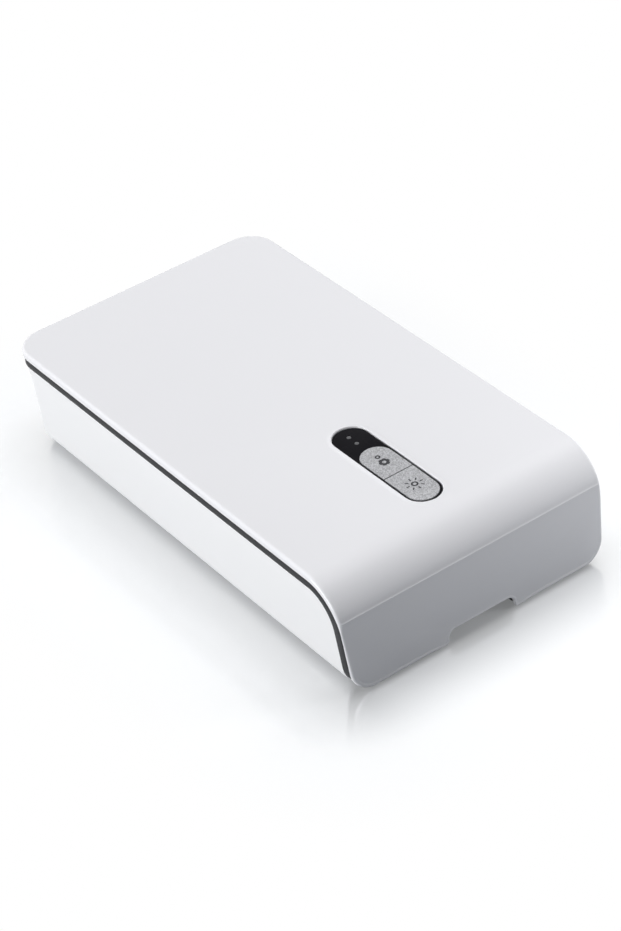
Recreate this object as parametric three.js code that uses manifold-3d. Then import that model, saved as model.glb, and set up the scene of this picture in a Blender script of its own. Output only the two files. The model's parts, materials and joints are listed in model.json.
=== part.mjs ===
// UV sanitizer box for phones, in millimetres.
// X runs to the right seen from the front, Y to the rear, Z up. The origin is on the
// surface that the box stands on, below the middle of its outline.
import * as THREE from 'three';
import { mergeVertices } from 'three/addons/utils/BufferGeometryUtils.js';
import Module from 'manifold-3d';

const wasm = await Module();
wasm.setup();

// Driving dimensions. Names with from in them are distances in from that end or side.
const overall = {
  length: 220, width: 120, height: 46, clearance: 0.3, fit: 0.1, hair: 0.03, overrun: 8, weld: 0.0001,
};
const sheet = {
  frontRadius: 19.5, frontTurn: THREE.MathUtils.degToRad(87), lowEdge: 2,
  rearCorner: 12.5, frontCorner: 9, cornerSteps: 6, turnSteps: 10,
};
const cover = {
  rim: 2.7, wall: 2, rimWidth: 2.5, edgeRadius: 2.4, edgeSteps: 4, bossRadius: 2.8, bossSunk: 0.5,
};
const notch = { halfWidth: 15.8, top: 7, cornerRadius: 3.4, flare: 1.6, surround: 2 };
const band = { height: 3.7, inset: 0.5, panel: 1.5, rimWidth: 2, seam: 0.4 };
const hinge = {
  overhang: 3.2, drop: 6.8, knuckleRadius: 2.6, pinRadius: 1.1, fromSide: 28,
  lidKnuckle: 7, baseKnuckle: 6, webRise: 1.8,
};
const shell = {
  fromSide: 1, sideDraft: 2.3, rearDraft: 1.5, rearCorner: 10, rounding: 6.5, innerRounding: 5,
  frontRounding: 3.5, roundingSteps: 4, wall: 2.2, floor: 2, mouthFromFront: 24,
};
const foot = { height: 1.9, radius: 6, sunk: 0.9, edge: 0.3, fromSide: 22, fromFront: 26, fromRear: 30 };
const pan = {
  fromSide: 14, fromFront: 31, fromRear: 16, corner: 14, draft: 3, floor: 14, wall: 1.2,
  flange: 1.5, flangeBelowRim: 0.4, cornerSteps: 6,
};
const troughs = { half: 9, sink: 3.8, centreShare: 0.52 };
const seal = { offset: 1.6, width: 1.6, height: 0.85, groove: 0.6, sunk: 0.15 };
const lamp = { radius: 1.4, endRoom: 20.5, tip: 0.8, pinLength: 2.4, pinRadius: 0.5 };
const holder = { length: 7, width: 6.4, height: 3.8, corner: 1.2 };
const reflector = {
  centreShare: 0.565, halfShare: 0.25, flange: 2, sheet: 0.3, rise: 2.3, reach: 6, arcSteps: 8,
};
const rack = {
  fromPanSide: 10, endRoom: 18, railWidth: 2.4, height: 7, foot: 1.6, barWidth: 2, barHeight: 3,
  bars: 10,
};
const pill = {
  halfWidth: 7.5, fromFront: 23.1, length: 57.7, lip: 0.35, flange: 2.3, floor: 0.5,
  swell: 0.4, swellReach: 5, swellRoot: 1, swellSteps: 4,
};
const keys = {
  halfWidth: 6.6, fromPillFront: 1.3, fromPillRear: 16.7, splitShare: 0.514, splitGap: 0.4,
  around: 0.2, top: 0.1, thickness: 1.7, travel: 0.6, dome: 0.25, stemRadius: 1.3,
  plungerRadius: 1, plungerLength: 0.65,
};
const indicators = {
  radius: 0.9, length: 3.2, fromPillRear: { indicator_rear: 5.8, indicator_front: 10.7 },
};
const board = {
  thickness: 0.7, halfWidth: 9, pastPillRear: 3.2, pastPillFront: 1.1, corner: 2,
  switchSize: 5, switchHeight: 0.9,
};
const lidScrew = {
  fromSide: 10, fromFront: 44, fromRear: 18, headRadius: 2, headHeight: 1.2,
  shaftRadius: 1.1, length: 3.2,
};
const lidPad = { radius: 4.2, height: 2.7 };
const magnet = { radius: 3, height: 1.5, fromSide: 10, fromFront: 31, skin: 1.2 };
const baseScrew = {
  fromSide: 12, fromFront: 58, fromRear: 44, headRadius: 2, headHeight: 1.6, sunk: 2.5,
  shaftRadius: 1.1, length: 11, postRadius: 3, postTop: 7.7, bossRadius: 2.6,
};
const mainBoard = {
  fromSide: 22, fromRear: 9, length: 66, corner: 3, bottom: 5, thickness: 1.2,
  postRadius: 2.5, postInset: 4, screwHead: 1.8, screwRadius: 0.9, screwHeadHeight: 1,
};
const driver = { width: 18, length: 20, height: 4.8, corner: 1.5, placeShare: 0.36, rib: 1, slots: 3 };
const socket = {
  width: 9, height: 3.4, depth: 8, wall: 0.45, corner: 1.4, tongue: 0.8, tongueWidth: 5, setBack: 0.7,
};
const sensor = { width: 4, length: 3, height: 1.4, behindMagnet: 9 };
const aroma = {
  fromPanRear: 14, cupRadius: 9, cupWall: 1, cupDepth: 3.5, padHeight: 2.4, capHeight: 1.1,
  slotWidth: 1.2, slotCorner: 0.57, slotPitch: 2.6, slots: 5, slotShare: 0.72,
};

// Places along the length and across the width
const halfLength = overall.length / 2;
const halfWidth = overall.width / 2;
const shellHalf = halfWidth - shell.fromSide;
const shellRear = halfLength - hinge.overhang;
const mouthFront = shell.mouthFromFront - halfLength;
const panHalf = halfWidth - pan.fromSide;
const panFront = pan.fromFront - halfLength;
const panRear = halfLength - pan.fromRear;
const lampMiddle = (panFront + panRear) / 2;
const lampLength = panRear - panFront - 2 * lamp.endRoom;
const lampReach = lampLength / 2 + lamp.pinLength + 4 * overall.clearance;
const troughCentre = panHalf * troughs.centreShare;
const reflectorCentre = panHalf * reflector.centreShare;
const reflectorHalf = panHalf * reflector.halfShare;
const aromaMiddle = panRear - aroma.fromPanRear;
const pillFront = pill.fromFront - halfLength;
const pillRear = pillFront + pill.length;
const keysFront = pillFront + keys.fromPillFront;
const keysRear = pillRear - keys.fromPillRear;
const keySplit = keysFront + (keysRear - keysFront) * keys.splitShare;
const keyCentres = { rear_key: (keysRear + keySplit) / 2, front_key: (keysFront + keySplit) / 2 };
const boardRear = halfLength - mainBoard.fromRear;
const boardFront = boardRear - mainBoard.length;
const boardHalf = halfWidth - mainBoard.fromSide;
const driverMiddle = boardFront + mainBoard.length * driver.placeShare;

// The bent sheet of the lid
const turn = sheet.frontTurn;
const bendDrop = sheet.frontRadius * (1 - Math.cos(turn));
const faceLength = (overall.height - bendDrop - sheet.lowEdge) / Math.sin(turn);
const faceReach = (faceLength - cover.edgeRadius) * Math.cos(turn);
const bendStart = -halfLength + sheet.frontRadius * Math.sin(turn) + faceReach;
const flatLength = halfLength - bendStart;
const sheetLength = flatLength + sheet.frontRadius * turn + faceLength;

// Depths below the lid's outer side, and heights
const bandTop = cover.rim + overall.clearance;
const bandBottom = bandTop + band.height;
const panelDepth = bandBottom - band.panel;
const baseDepth = bandBottom + band.seam;
const shellTop = overall.height - baseDepth;
const shellBottom = foot.height - foot.sunk;
const floorTop = shellBottom + shell.floor;
const hingeHeight = overall.height - hinge.drop;
const lidUnder = overall.height - bandBottom;
const panelTop = overall.height - panelDepth;
const coverUnder = overall.height - cover.wall;
const flangeTop = shellTop - pan.flangeBelowRim;
const flangeUnder = flangeTop - pan.flange;
const flangeMiddle = (flangeTop + flangeUnder) / 2;
const boardUnder = panelTop + overall.clearance;
const boardTop = boardUnder + board.thickness;
const pillTop = overall.height - pill.lip;
const keyTop = overall.height + keys.top;
const keyUnder = keyTop - keys.thickness;
const stemLow = keyUnder - keys.travel - overall.clearance - overall.fit;
const plungerTop = stemLow - overall.fit;
const plungerLow = plungerTop - keys.plungerLength;
const pillFloorTop = keyUnder - keys.travel - overall.clearance;
const pillFloorUnder = pillFloorTop - pill.floor;
const troughBottom = pan.floor - troughs.sink;
const baseLampHeight = troughBottom + holder.height / 2 + overall.clearance;
const reflectorUnder = panelTop + overall.clearance;
const lidLampHeight = reflectorUnder + reflector.rise - holder.height / 2 - overall.clearance;
const baseScrewLow = shellBottom + baseScrew.sunk - overall.clearance - baseScrew.headHeight;
const componentLow = mainBoard.bottom + mainBoard.thickness;
const padRadius = aroma.cupRadius - aroma.cupWall - overall.clearance;
const padLow = pan.floor - aroma.cupDepth + overall.clearance;

// Places of the small parts, as pairs of x and y
const bothSides = (x, rows) => rows.flatMap((y) => [[-x, y], [x, y]]);
const lidScrewFront = lidScrew.fromFront - halfLength;
const lidScrewRear = halfLength - lidScrew.fromRear;
const lidScrewPlaces = bothSides(
  halfWidth - lidScrew.fromSide, [lidScrewFront, (lidScrewFront + lidScrewRear) / 2, lidScrewRear],
);
const magnetPlaces = bothSides(halfWidth - magnet.fromSide, [magnet.fromFront - halfLength]);
const screwPlaces = bothSides(
  halfWidth - baseScrew.fromSide, [baseScrew.fromFront - halfLength, halfLength - baseScrew.fromRear],
);
const footPlaces = bothSides(
  halfWidth - foot.fromSide, [foot.fromFront - halfLength, halfLength - foot.fromRear],
);
const boardPostPlaces = bothSides(
  boardHalf - mainBoard.postInset, [boardFront + mainBoard.postInset, boardRear - mainBoard.postInset],
);
const boardScrewPlaces = boardPostPlaces.slice(2);
const sides = [[-1, 'left'], [1, 'right']];

// Materials
function finish(color, roughness, metalness = 0) {
  return new THREE.MeshStandardMaterial({ color, roughness, metalness });
}

const finishes = {
  glossWhite: finish(0xe9e8ec, 0.22),
  satinWhite: finish(0xf1f3f2, 0.4),
  darkGrey: finish(0x53565a, 0.5),
  black: finish(0x1c1c20, 0.35),
  silver: finish(0xb9bbc0, 0.4, 0.6),
  mirror: finish(0xd8dadd, 0.12, 1),
  glass: finish(0xdfe6ee, 0.05),
  clear: finish(0xe6eef0, 0.15),
  ceramic: finish(0xf2f0ea, 0.6),
  rubber: finish(0x2a2a2c, 0.85),
  greenBoard: finish(0x1e5b3c, 0.5),
  steel: finish(0xa9abae, 0.3, 1),
  felt: finish(0xe8e2d4, 0.95),
  lens: finish(0x5a5c62, 0.3),
};

// Solids and booleans
function toSolid(geometry) {
  const bare = geometry.clone();
  bare.deleteAttribute('normal');
  bare.deleteAttribute('uv');
  const merged = mergeVertices(bare, overall.weld);
  return new wasm.Manifold(new wasm.Mesh({
    numProp: 3,
    vertProperties: new Float32Array(merged.attributes.position.array),
    triVerts: new Uint32Array(merged.index.array),
  }));
}

function toGeometry(solid) {
  const mesh = solid.getMesh();
  const geometry = new THREE.BufferGeometry();
  const positions = Float32Array.from(mesh.vertProperties);
  geometry.setAttribute('position', new THREE.BufferAttribute(positions, 3));
  geometry.setIndex(new THREE.BufferAttribute(Uint32Array.from(mesh.triVerts), 1));
  return geometry;
}

const joined = (first, ...others) => others.reduce((sum, next) => sum.add(next), first);
const cut = (first, ...others) => others.reduce((rest, next) => rest.subtract(next), first);

// A closed body through rings that mirror left to right: each ring is its right half, rear to front.
function pairedLoft(rings) {
  const half = rings[0].length;
  const around = 2 * half;
  const positions = [];
  for (const ring of rings) {
    for (const point of ring) positions.push(point.x, point.y, point.z);
    for (const point of [...ring].reverse()) positions.push(-point.x, point.y, point.z);
  }
  const faces = [];
  for (let level = 0; level + 1 < rings.length; level += 1) {
    for (let step = 0; step < around; step += 1) {
      const a = level * around + step;
      const b = level * around + (step + 1) % around;
      faces.push(a, b, b + around, a, b + around, a + around);
    }
  }
  const last = (rings.length - 1) * around;
  for (let step = 0; step + 1 < half; step += 1) {
    const mirror = around - 1 - step;
    faces.push(step, mirror, mirror - 1, step, mirror - 1, step + 1);
    faces.push(last + step, last + mirror - 1, last + mirror);
    faces.push(last + step, last + step + 1, last + mirror - 1);
  }
  const geometry = new THREE.BufferGeometry();
  geometry.setAttribute('position', new THREE.Float32BufferAttribute(positions, 3));
  geometry.setIndex(signedVolume(positions, faces) < 0 ? faces.reverse() : faces);
  return toSolid(geometry);
}

function signedVolume(positions, faces) {
  const corner = (index) => new THREE.Vector3().fromArray(positions, 3 * faces[index]);
  let sum = 0;
  for (let index = 0; index < faces.length; index += 3) {
    sum += corner(index).dot(corner(index + 1).cross(corner(index + 2)));
  }
  return sum;
}

// Flat outlines and the prisms on them
function roundedOutline(outline, half, front, rear, frontCorner, rearCorner = frontCorner) {
  const quarter = Math.PI / 2;
  outline.moveTo(-half + frontCorner, front);
  outline.absarc(half - frontCorner, front + frontCorner, frontCorner, -quarter, 0, false);
  outline.absarc(half - rearCorner, rear - rearCorner, rearCorner, 0, quarter, false);
  outline.absarc(-half + rearCorner, rear - rearCorner, rearCorner, quarter, Math.PI, false);
  outline.absarc(-half + frontCorner, front + frontCorner, frontCorner, Math.PI, 3 * quarter, false);
  return outline;
}

const roundedShape = (...sizes) => roundedOutline(new THREE.Shape(), ...sizes);

function extruded(shape, depth, curveSegments) {
  return new THREE.ExtrudeGeometry(shape, { depth, bevelEnabled: false, curveSegments });
}

function prism(shape, low, high, curveSegments = 2) {
  return toSolid(extruded(shape, high - low, curveSegments).translate(0, 0, low));
}

// A prism along X on an outline drawn in Y and Z
function prismAcross(shape, low, high, curveSegments = 2) {
  const geometry = extruded(shape, high - low, curveSegments).translate(0, 0, low);
  geometry.applyMatrix4(new THREE.Matrix4().makeBasis(
    new THREE.Vector3(0, 1, 0), new THREE.Vector3(0, 0, 1), new THREE.Vector3(1, 0, 0),
  ));
  return toSolid(geometry);
}

// A prism along Y on an outline drawn in X and Z
function prismAlong(shape, front, rear, curveSegments = 2) {
  const geometry = extruded(shape, rear - front, curveSegments);
  return toSolid(geometry.rotateX(Math.PI / 2).translate(0, rear, 0));
}

function block(half, front, rear, low, high, middle = 0) {
  const geometry = new THREE.BoxGeometry(2 * half, rear - front, high - low);
  return toSolid(geometry.translate(middle, (front + rear) / 2, (low + high) / 2));
}

function disc(radius, low, high, x, y, segments = 14) {
  const geometry = new THREE.CylinderGeometry(radius, radius, high - low, segments);
  return toSolid(geometry.rotateX(Math.PI / 2).translate(x, y, (low + high) / 2));
}

function rodAcross(radius, low, high, y, z, segments = 16) {
  const geometry = new THREE.CylinderGeometry(radius, radius, high - low, segments);
  return toSolid(geometry.rotateZ(Math.PI / 2).translate((low + high) / 2, y, z));
}

function rodAlong(radius, front, rear, x, z, segments = 12) {
  const geometry = new THREE.CylinderGeometry(radius, radius, rear - front, segments);
  return toSolid(geometry.translate(x, (front + rear) / 2, z));
}

// A turned part on a profile of radius and height, closed on its axis
function turned(profile, x, y, segments = 10) {
  const geometry = new THREE.LatheGeometry(profile.map(([r, z]) => new THREE.Vector2(r, z)), segments);
  return toSolid(geometry.rotateX(Math.PI / 2).translate(x, y, 0));
}

// A screw whose tip points up or down, from its driven end over its shoulder to its tip
function screwBody(headEnd, shoulder, tip, headRadius, shaftRadius, x, y, segments) {
  const profile = [
    [0, headEnd], [headRadius, headEnd], [headRadius, shoulder],
    [shaftRadius, shoulder], [shaftRadius, tip], [0, tip],
  ];
  return turned(tip > headEnd ? profile : profile.reverse(), x, y, segments);
}

// The bent sheet that the lid is made of: s runs along its outer side from the rear edge, over
// the top, round the front and down to the low edge, and depth runs inwards from that side.
function onSheet(across, s, depth) {
  const turned = Math.min(Math.max((s - flatLength) / sheet.frontRadius, 0), turn);
  const before = Math.min(s, flatLength);
  const past = Math.max(s - flatLength - sheet.frontRadius * turn, 0);
  const radius = sheet.frontRadius - depth;
  return new THREE.Vector3(
    across,
    halfLength - before - radius * Math.sin(turned) - past * Math.cos(turned),
    overall.height - sheet.frontRadius + radius * Math.cos(turned) - past * Math.sin(turned),
  );
}

function sheetRing(inset, depth) {
  const half = halfWidth - inset;
  const rear = sheet.rearCorner - inset;
  const front = sheet.frontCorner - inset;
  const ring = [];
  for (let step = 0; step <= sheet.cornerSteps; step += 1) {
    const angle = (step / sheet.cornerSteps) * Math.PI / 2;
    const s = inset + rear * (1 - Math.cos(angle));
    ring.push(onSheet(half - rear * (1 - Math.sin(angle)), s, depth));
  }
  for (let step = 0; step <= sheet.turnSteps; step += 1) {
    const angle = (step / sheet.turnSteps) * turn;
    ring.push(onSheet(half, flatLength + sheet.frontRadius * angle, depth));
  }
  for (let step = 0; step <= sheet.cornerSteps; step += 1) {
    const angle = (step / sheet.cornerSteps) * Math.PI / 2;
    const s = sheetLength - inset - front * (1 - Math.sin(angle));
    ring.push(onSheet(half - front * (1 - Math.cos(angle)), s, depth));
  }
  return ring;
}

// All the space under the bent sheet at a depth, down to a height and with a rounded low front edge
function underSheet(depth, low) {
  const shape = new THREE.Shape();
  const rounding = shell.frontRounding;
  const faceEnd = onSheet(0, sheetLength, depth);
  shape.moveTo(halfLength + overall.overrun, low);
  shape.lineTo(halfLength + overall.overrun, overall.height - depth);
  for (let step = 0; step <= sheet.turnSteps; step += 1) {
    const along = sheet.frontRadius * (step / sheet.turnSteps) * turn;
    const point = onSheet(0, flatLength + along, depth);
    shape.lineTo(point.y, point.z);
  }
  shape.lineTo(faceEnd.y, low + rounding);
  shape.absarc(faceEnd.y + rounding, low + rounding, rounding, Math.PI, 1.5 * Math.PI, false);
  shape.closePath();
  return prismAcross(shape, -halfWidth, halfWidth);
}

// The notch for a fingertip in the low edge of the lid's front
function notchPrism(grow = 0) {
  const half = notch.halfWidth + grow;
  const top = notch.top + grow;
  const corner = notch.cornerRadius + grow;
  const edge = sheet.lowEdge;
  const { flare } = notch;
  const shape = new THREE.Shape();
  shape.moveTo(-half - flare, edge - overall.overrun);
  shape.lineTo(-half - flare, edge);
  shape.absarc(-half - flare, edge + flare, flare, -Math.PI / 2, 0, false);
  shape.absarc(-half + corner, top - corner, corner, Math.PI, Math.PI / 2, true);
  shape.absarc(half - corner, top - corner, corner, Math.PI / 2, 0, true);
  shape.absarc(half + flare, edge + flare, flare, Math.PI, 1.5 * Math.PI, false);
  shape.lineTo(half + flare, edge - overall.overrun);
  const rear = onSheet(0, sheetLength, baseDepth).y;
  return prismAlong(shape, -halfLength - overall.overrun, rear, 3);
}

// Outlines with round ends: the control pill, and the keys that share one such outline
function pillShape(grow) {
  const half = pill.halfWidth + grow;
  return roundedShape(half, pillFront - grow, pillRear + grow, half - overall.hair);
}

function keyOutline(grow) {
  const half = keys.halfWidth + grow;
  return roundedShape(half, keysFront - grow, keysRear + grow, half - overall.hair);
}

function pillRing(grow, z) {
  const radius = pill.halfWidth + grow;
  const steps = 2 * pill.swellSteps;
  const ring = [];
  for (const [centre, start] of [[pillRear - pill.halfWidth, 0], [pillFront + pill.halfWidth, 1]]) {
    for (let step = 0; step <= steps; step += 1) {
      const angle = (start + step / steps) * Math.PI / 2;
      const across = Math.max(radius * Math.sin(angle), overall.hair);
      ring.push(new THREE.Vector3(across, centre + radius * Math.cos(angle), z));
    }
  }
  return ring;
}

// The low swell of the lid round the pill
function pillSwell() {
  const rings = [pillRing(pill.swellReach, overall.height - pill.swellRoot)];
  for (let step = 0; step <= pill.swellSteps; step += 1) {
    const share = step / pill.swellSteps;
    const rise = pill.swell * (1 - Math.cos(Math.PI * share)) / 2;
    rings.push(pillRing(pill.swellReach * (1 - share), overall.height + rise));
  }
  return pairedLoft(rings);
}

function lidCover() {
  const rings = [];
  for (let step = 0; step <= cover.edgeSteps; step += 1) {
    const angle = (step / cover.edgeSteps) * Math.PI / 2;
    const inset = cover.edgeRadius * (1 - Math.sin(angle));
    rings.push(sheetRing(inset, cover.edgeRadius * (1 - Math.cos(angle))));
  }
  rings.push(sheetRing(0, cover.rim));
  rings.push(sheetRing(cover.rimWidth, cover.rim));
  rings.push(sheetRing(cover.rimWidth, cover.wall));
  const bossLow = lidUnder + lidPad.height + overall.clearance;
  let solid = joined(pairedLoft(rings), pillSwell());
  for (const [x, y] of lidScrewPlaces) {
    const hole = lidScrew.shaftRadius + overall.clearance;
    solid = joined(solid, disc(cover.bossRadius, bossLow, coverUnder + cover.bossSunk, x, y));
    solid = cut(solid, disc(hole, bossLow - overall.overrun, coverUnder, x, y, 10));
  }
  const hole = prism(pillShape(0), coverUnder - overall.overrun, overall.height + overall.overrun, 5);
  return cut(solid, hole, notchPrism());
}

// One lid knuckle between two base knuckles, on each side
function knuckleSpans(side) {
  const middle = side * (halfWidth - hinge.fromSide);
  const half = hinge.lidKnuckle / 2;
  const near = half + overall.clearance;
  const far = near + hinge.baseKnuckle;
  return {
    middle,
    lid: [middle - half, middle + half],
    base: [[middle - far, middle - near], [middle + near, middle + far]],
  };
}

const onHinge = (radius, low, high) => rodAcross(radius, low, high, shellRear, hingeHeight);

// Room for the other part's knuckle
function knuckleRelief([low, high]) {
  const gap = overall.clearance;
  return onHinge(hinge.knuckleRadius + gap, low - gap, high + gap);
}

function pinHole(low, high) {
  return onHinge(hinge.pinRadius + overall.clearance, low - overall.clearance, high + overall.clearance);
}

// A shallow pan that follows the cover, with pads for the screws and magnets and a wall round the notch
function lidFrame() {
  const edge = band.inset + band.rimWidth;
  const magnetFloor = lidUnder + magnet.skin;
  const magnetPadTop = magnetFloor + magnet.height + 2 * overall.clearance;
  const magnetSpace = magnet.radius + overall.clearance;
  let space = cut(
    pairedLoft([sheetRing(edge, cover.wall), sheetRing(edge, panelDepth)]),
    notchPrism(notch.surround),
  );
  for (const [x, y] of lidScrewPlaces) {
    space = cut(space, disc(lidPad.radius, 0, lidUnder + lidPad.height, x, y));
  }
  for (const [x, y] of magnetPlaces) {
    space = cut(space, disc(magnetSpace + magnet.skin, 0, magnetPadTop, x, y));
  }
  const outer = pairedLoft([sheetRing(band.inset, bandTop), sheetRing(band.inset, bandBottom)]);
  let solid = cut(outer, space);
  for (const [x, y] of lidScrewPlaces) {
    const headTop = lidUnder + lidScrew.headHeight + overall.clearance;
    solid = cut(
      solid,
      disc(lidScrew.headRadius + overall.clearance, 0, headTop, x, y),
      disc(lidScrew.shaftRadius + overall.clearance, 0, overall.height, x, y, 10),
    );
  }
  for (const [x, y] of magnetPlaces) {
    solid = cut(solid, disc(magnetSpace, magnetFloor, overall.height, x, y));
  }
  for (const [side] of sides) {
    solid = cut(solid, lampWindow(side * reflectorCentre));
    solid = lidKnuckle(solid, side);
  }
  return cut(solid, notchPrism());
}

function lampWindow(x) {
  const half = reflectorHalf - overall.clearance;
  const reach = lampLength / 2 + reflector.reach;
  const shape = roundedShape(half, lampMiddle - reach, lampMiddle + reach, band.rimWidth);
  return prism(shape, lidUnder - overall.overrun, panelTop + overall.overrun).translate(x, 0, 0);
}

function lidKnuckle(frame, side) {
  const { middle, lid, base } = knuckleSpans(side);
  const web = block(
    hinge.lidKnuckle / 2, shellRear - hinge.knuckleRadius, shellRear + hinge.knuckleRadius,
    hingeHeight, hingeHeight + hinge.webRise, middle,
  );
  const relieved = cut(frame, ...base.map(knuckleRelief));
  return cut(joined(relieved, web, onHinge(hinge.knuckleRadius, ...lid)), pinHole(...lid));
}

// One curved sheet over each lid lamp, on flanges that lie on the frame's panel
function lidReflector(side) {
  const { flange, sheet: thickness, rise, arcSteps } = reflector;
  const inner = reflectorHalf - flange;
  const outer = reflectorHalf + flange;
  const shape = new THREE.Shape();
  const arch = (width, step) => {
    const angle = Math.PI * step / arcSteps;
    return [width * Math.cos(angle), rise * Math.sin(angle)];
  };
  shape.moveTo(outer, 0);
  for (let step = 0; step <= arcSteps; step += 1) shape.lineTo(...arch(inner, step));
  shape.lineTo(-outer, 0);
  shape.lineTo(-outer, thickness);
  for (let step = arcSteps; step >= 0; step -= 1) {
    const [across, up] = arch(inner + thickness, step);
    shape.lineTo(across, up + thickness);
  }
  shape.lineTo(outer, thickness);
  const reach = lampLength / 2 + reflector.reach + flange;
  const strip = prismAlong(shape, lampMiddle - reach, lampMiddle + reach);
  return strip.translate(side * reflectorCentre, 0, reflectorUnder);
}

// A straight lamp tube with rounded ends and one contact pin at each end
function lampTube(x, height) {
  const { radius, tip, pinLength, pinRadius } = lamp;
  const half = lampLength / 2;
  const profile = [
    [0, -half - pinLength], [pinRadius, -half - pinLength], [pinRadius, -half],
    [radius - tip, -half], [radius, -half + tip], [radius, half - tip], [radius - tip, half],
    [pinRadius, half], [pinRadius, half + pinLength], [0, half + pinLength],
  ];
  const geometry = new THREE.LatheGeometry(profile.map(([r, y]) => new THREE.Vector2(r, y)), 12);
  return toSolid(geometry.translate(x, lampMiddle, height));
}

// The block that takes a lamp's end: a rounded body with a bore for tube and pin
function lampHolder(x, height, end) {
  const outer = lampLength / 2 + lamp.pinLength + 2 * overall.clearance;
  const shoulder = outer - lamp.pinLength - overall.clearance;
  const pinEnd = outer - overall.clearance;
  const inner = outer - holder.length;
  const span = (from, to) => {
    const [near, far] = [lampMiddle + end * from, lampMiddle + end * to];
    return [Math.min(near, far), Math.max(near, far)];
  };
  const section = roundedShape(holder.width / 2, -holder.height / 2, holder.height / 2, holder.corner);
  const body = prismAlong(section, ...span(inner, outer), 1).translate(x, 0, height);
  const tubeBore = rodAlong(lamp.radius + overall.fit, ...span(inner - holder.length, shoulder), x, height);
  const pinBore = rodAlong(lamp.pinRadius + overall.fit, ...span(inner, pinEnd), x, height, 8);
  return cut(body, tubeBore, pinBore);
}

function controlBezel() {
  const keyRoom = keyOutline(keys.around);
  let solid = joined(
    prism(pillShape(pill.flange), pillFloorUnder, coverUnder - overall.clearance, 5),
    prism(pillShape(-overall.clearance), pillFloorUnder, pillTop, 5),
  );
  solid = cut(solid, prism(keyRoom, pillFloorTop, pillTop + overall.overrun, 5));
  const low = pillFloorUnder - overall.overrun;
  for (const y of Object.values(keyCentres)) {
    solid = cut(solid, disc(keys.stemRadius + overall.clearance, low, pillTop, 0, y));
  }
  for (const fromRear of Object.values(indicators.fromPillRear)) {
    const hole = indicators.radius + overall.fit;
    solid = cut(solid, disc(hole, low, pillTop + overall.overrun, 0, pillRear - fromRear, 12));
  }
  return solid;
}

// One of the two keys: a bevelled cap with a stem
function keyCap(name) {
  const bevel = keys.dome;
  const whole = new THREE.ExtrudeGeometry(keyOutline(-bevel), {
    depth: keys.thickness - bevel, bevelEnabled: true, bevelThickness: bevel, bevelSize: bevel,
    bevelSegments: 2, curveSegments: 5,
  });
  const halfGap = keys.splitGap / 2;
  const [front, rear] = name === 'rear_key'
    ? [keySplit + halfGap, keysRear + overall.overrun]
    : [keysFront - overall.overrun, keySplit - halfGap];
  const side = block(keys.halfWidth + overall.overrun, front, rear, keyUnder, keyTop + overall.overrun);
  const cap = toSolid(whole.translate(0, 0, keyUnder)).intersect(side);
  return joined(cap, disc(keys.stemRadius, stemLow, keyUnder + bevel, 0, keyCentres[name], 12));
}

function keySwitch(y) {
  const half = board.switchSize / 2;
  const shape = roundedShape(half, y - half, y + half, overall.clearance);
  const solid = prism(shape, boardTop, boardTop + board.switchHeight, 2);
  const hole = keys.plungerRadius + overall.clearance;
  return cut(solid, disc(hole, boardTop - overall.overrun, boardTop + overall.overrun, 0, y, 12));
}

function lidScrewBody(x, y) {
  const headTop = lidUnder + lidScrew.headHeight;
  const { headRadius, shaftRadius, length } = lidScrew;
  return screwBody(lidUnder + overall.fit, headTop, headTop + length, headRadius, shaftRadius, x, y);
}

// The tub's plan outline at a height, drawn in by the draft, a wall and the rounding at the bottom
function shellRing(z, inset) {
  const share = (shellTop - z) / (shellTop - shellBottom);
  const half = shellHalf - shell.sideDraft * share - inset;
  const rear = shellRear - shell.rearDraft * share - inset;
  const corner = shell.rearCorner - shell.sideDraft * share - inset;
  const ring = [];
  for (let step = 0; step <= sheet.cornerSteps; step += 1) {
    const angle = (step / sheet.cornerSteps) * Math.PI / 2;
    const across = half - corner * (1 - Math.sin(angle));
    ring.push(new THREE.Vector3(across, rear - corner * (1 - Math.cos(angle)), z));
  }
  ring.push(new THREE.Vector3(half, -halfLength - overall.overrun, z));
  return ring;
}

function shellLoft(wall, rounding, low, top) {
  const rings = [];
  for (let step = 0; step <= shell.roundingSteps; step += 1) {
    const angle = (step / shell.roundingSteps) * Math.PI / 2;
    const inset = wall + rounding * (1 - Math.sin(angle));
    rings.push(shellRing(low + rounding * (1 - Math.cos(angle)), inset));
  }
  rings.push(shellRing(top, wall));
  return pairedLoft(rings);
}

const socketFace = shellRing(componentLow + socket.height / 2, 0)[0].y - socket.setBack;

// The space in the tub, with the posts left standing in it
function shellSpace() {
  const top = shellTop + overall.overrun;
  const reach = joined(
    underSheet(baseDepth + shell.wall, floorTop),
    block(halfWidth, mouthFront, shellRear, floorTop + shell.rounding, top),
  );
  let space = shellLoft(shell.wall, shell.innerRounding, floorTop, top).intersect(reach);
  for (const [x, y] of screwPlaces) {
    space = cut(space, disc(baseScrew.postRadius, 0, baseScrew.postTop, x, y));
  }
  for (const [x, y] of boardPostPlaces) {
    space = cut(space, disc(mainBoard.postRadius, 0, mainBoard.bottom - overall.clearance, x, y));
  }
  return space;
}

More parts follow.
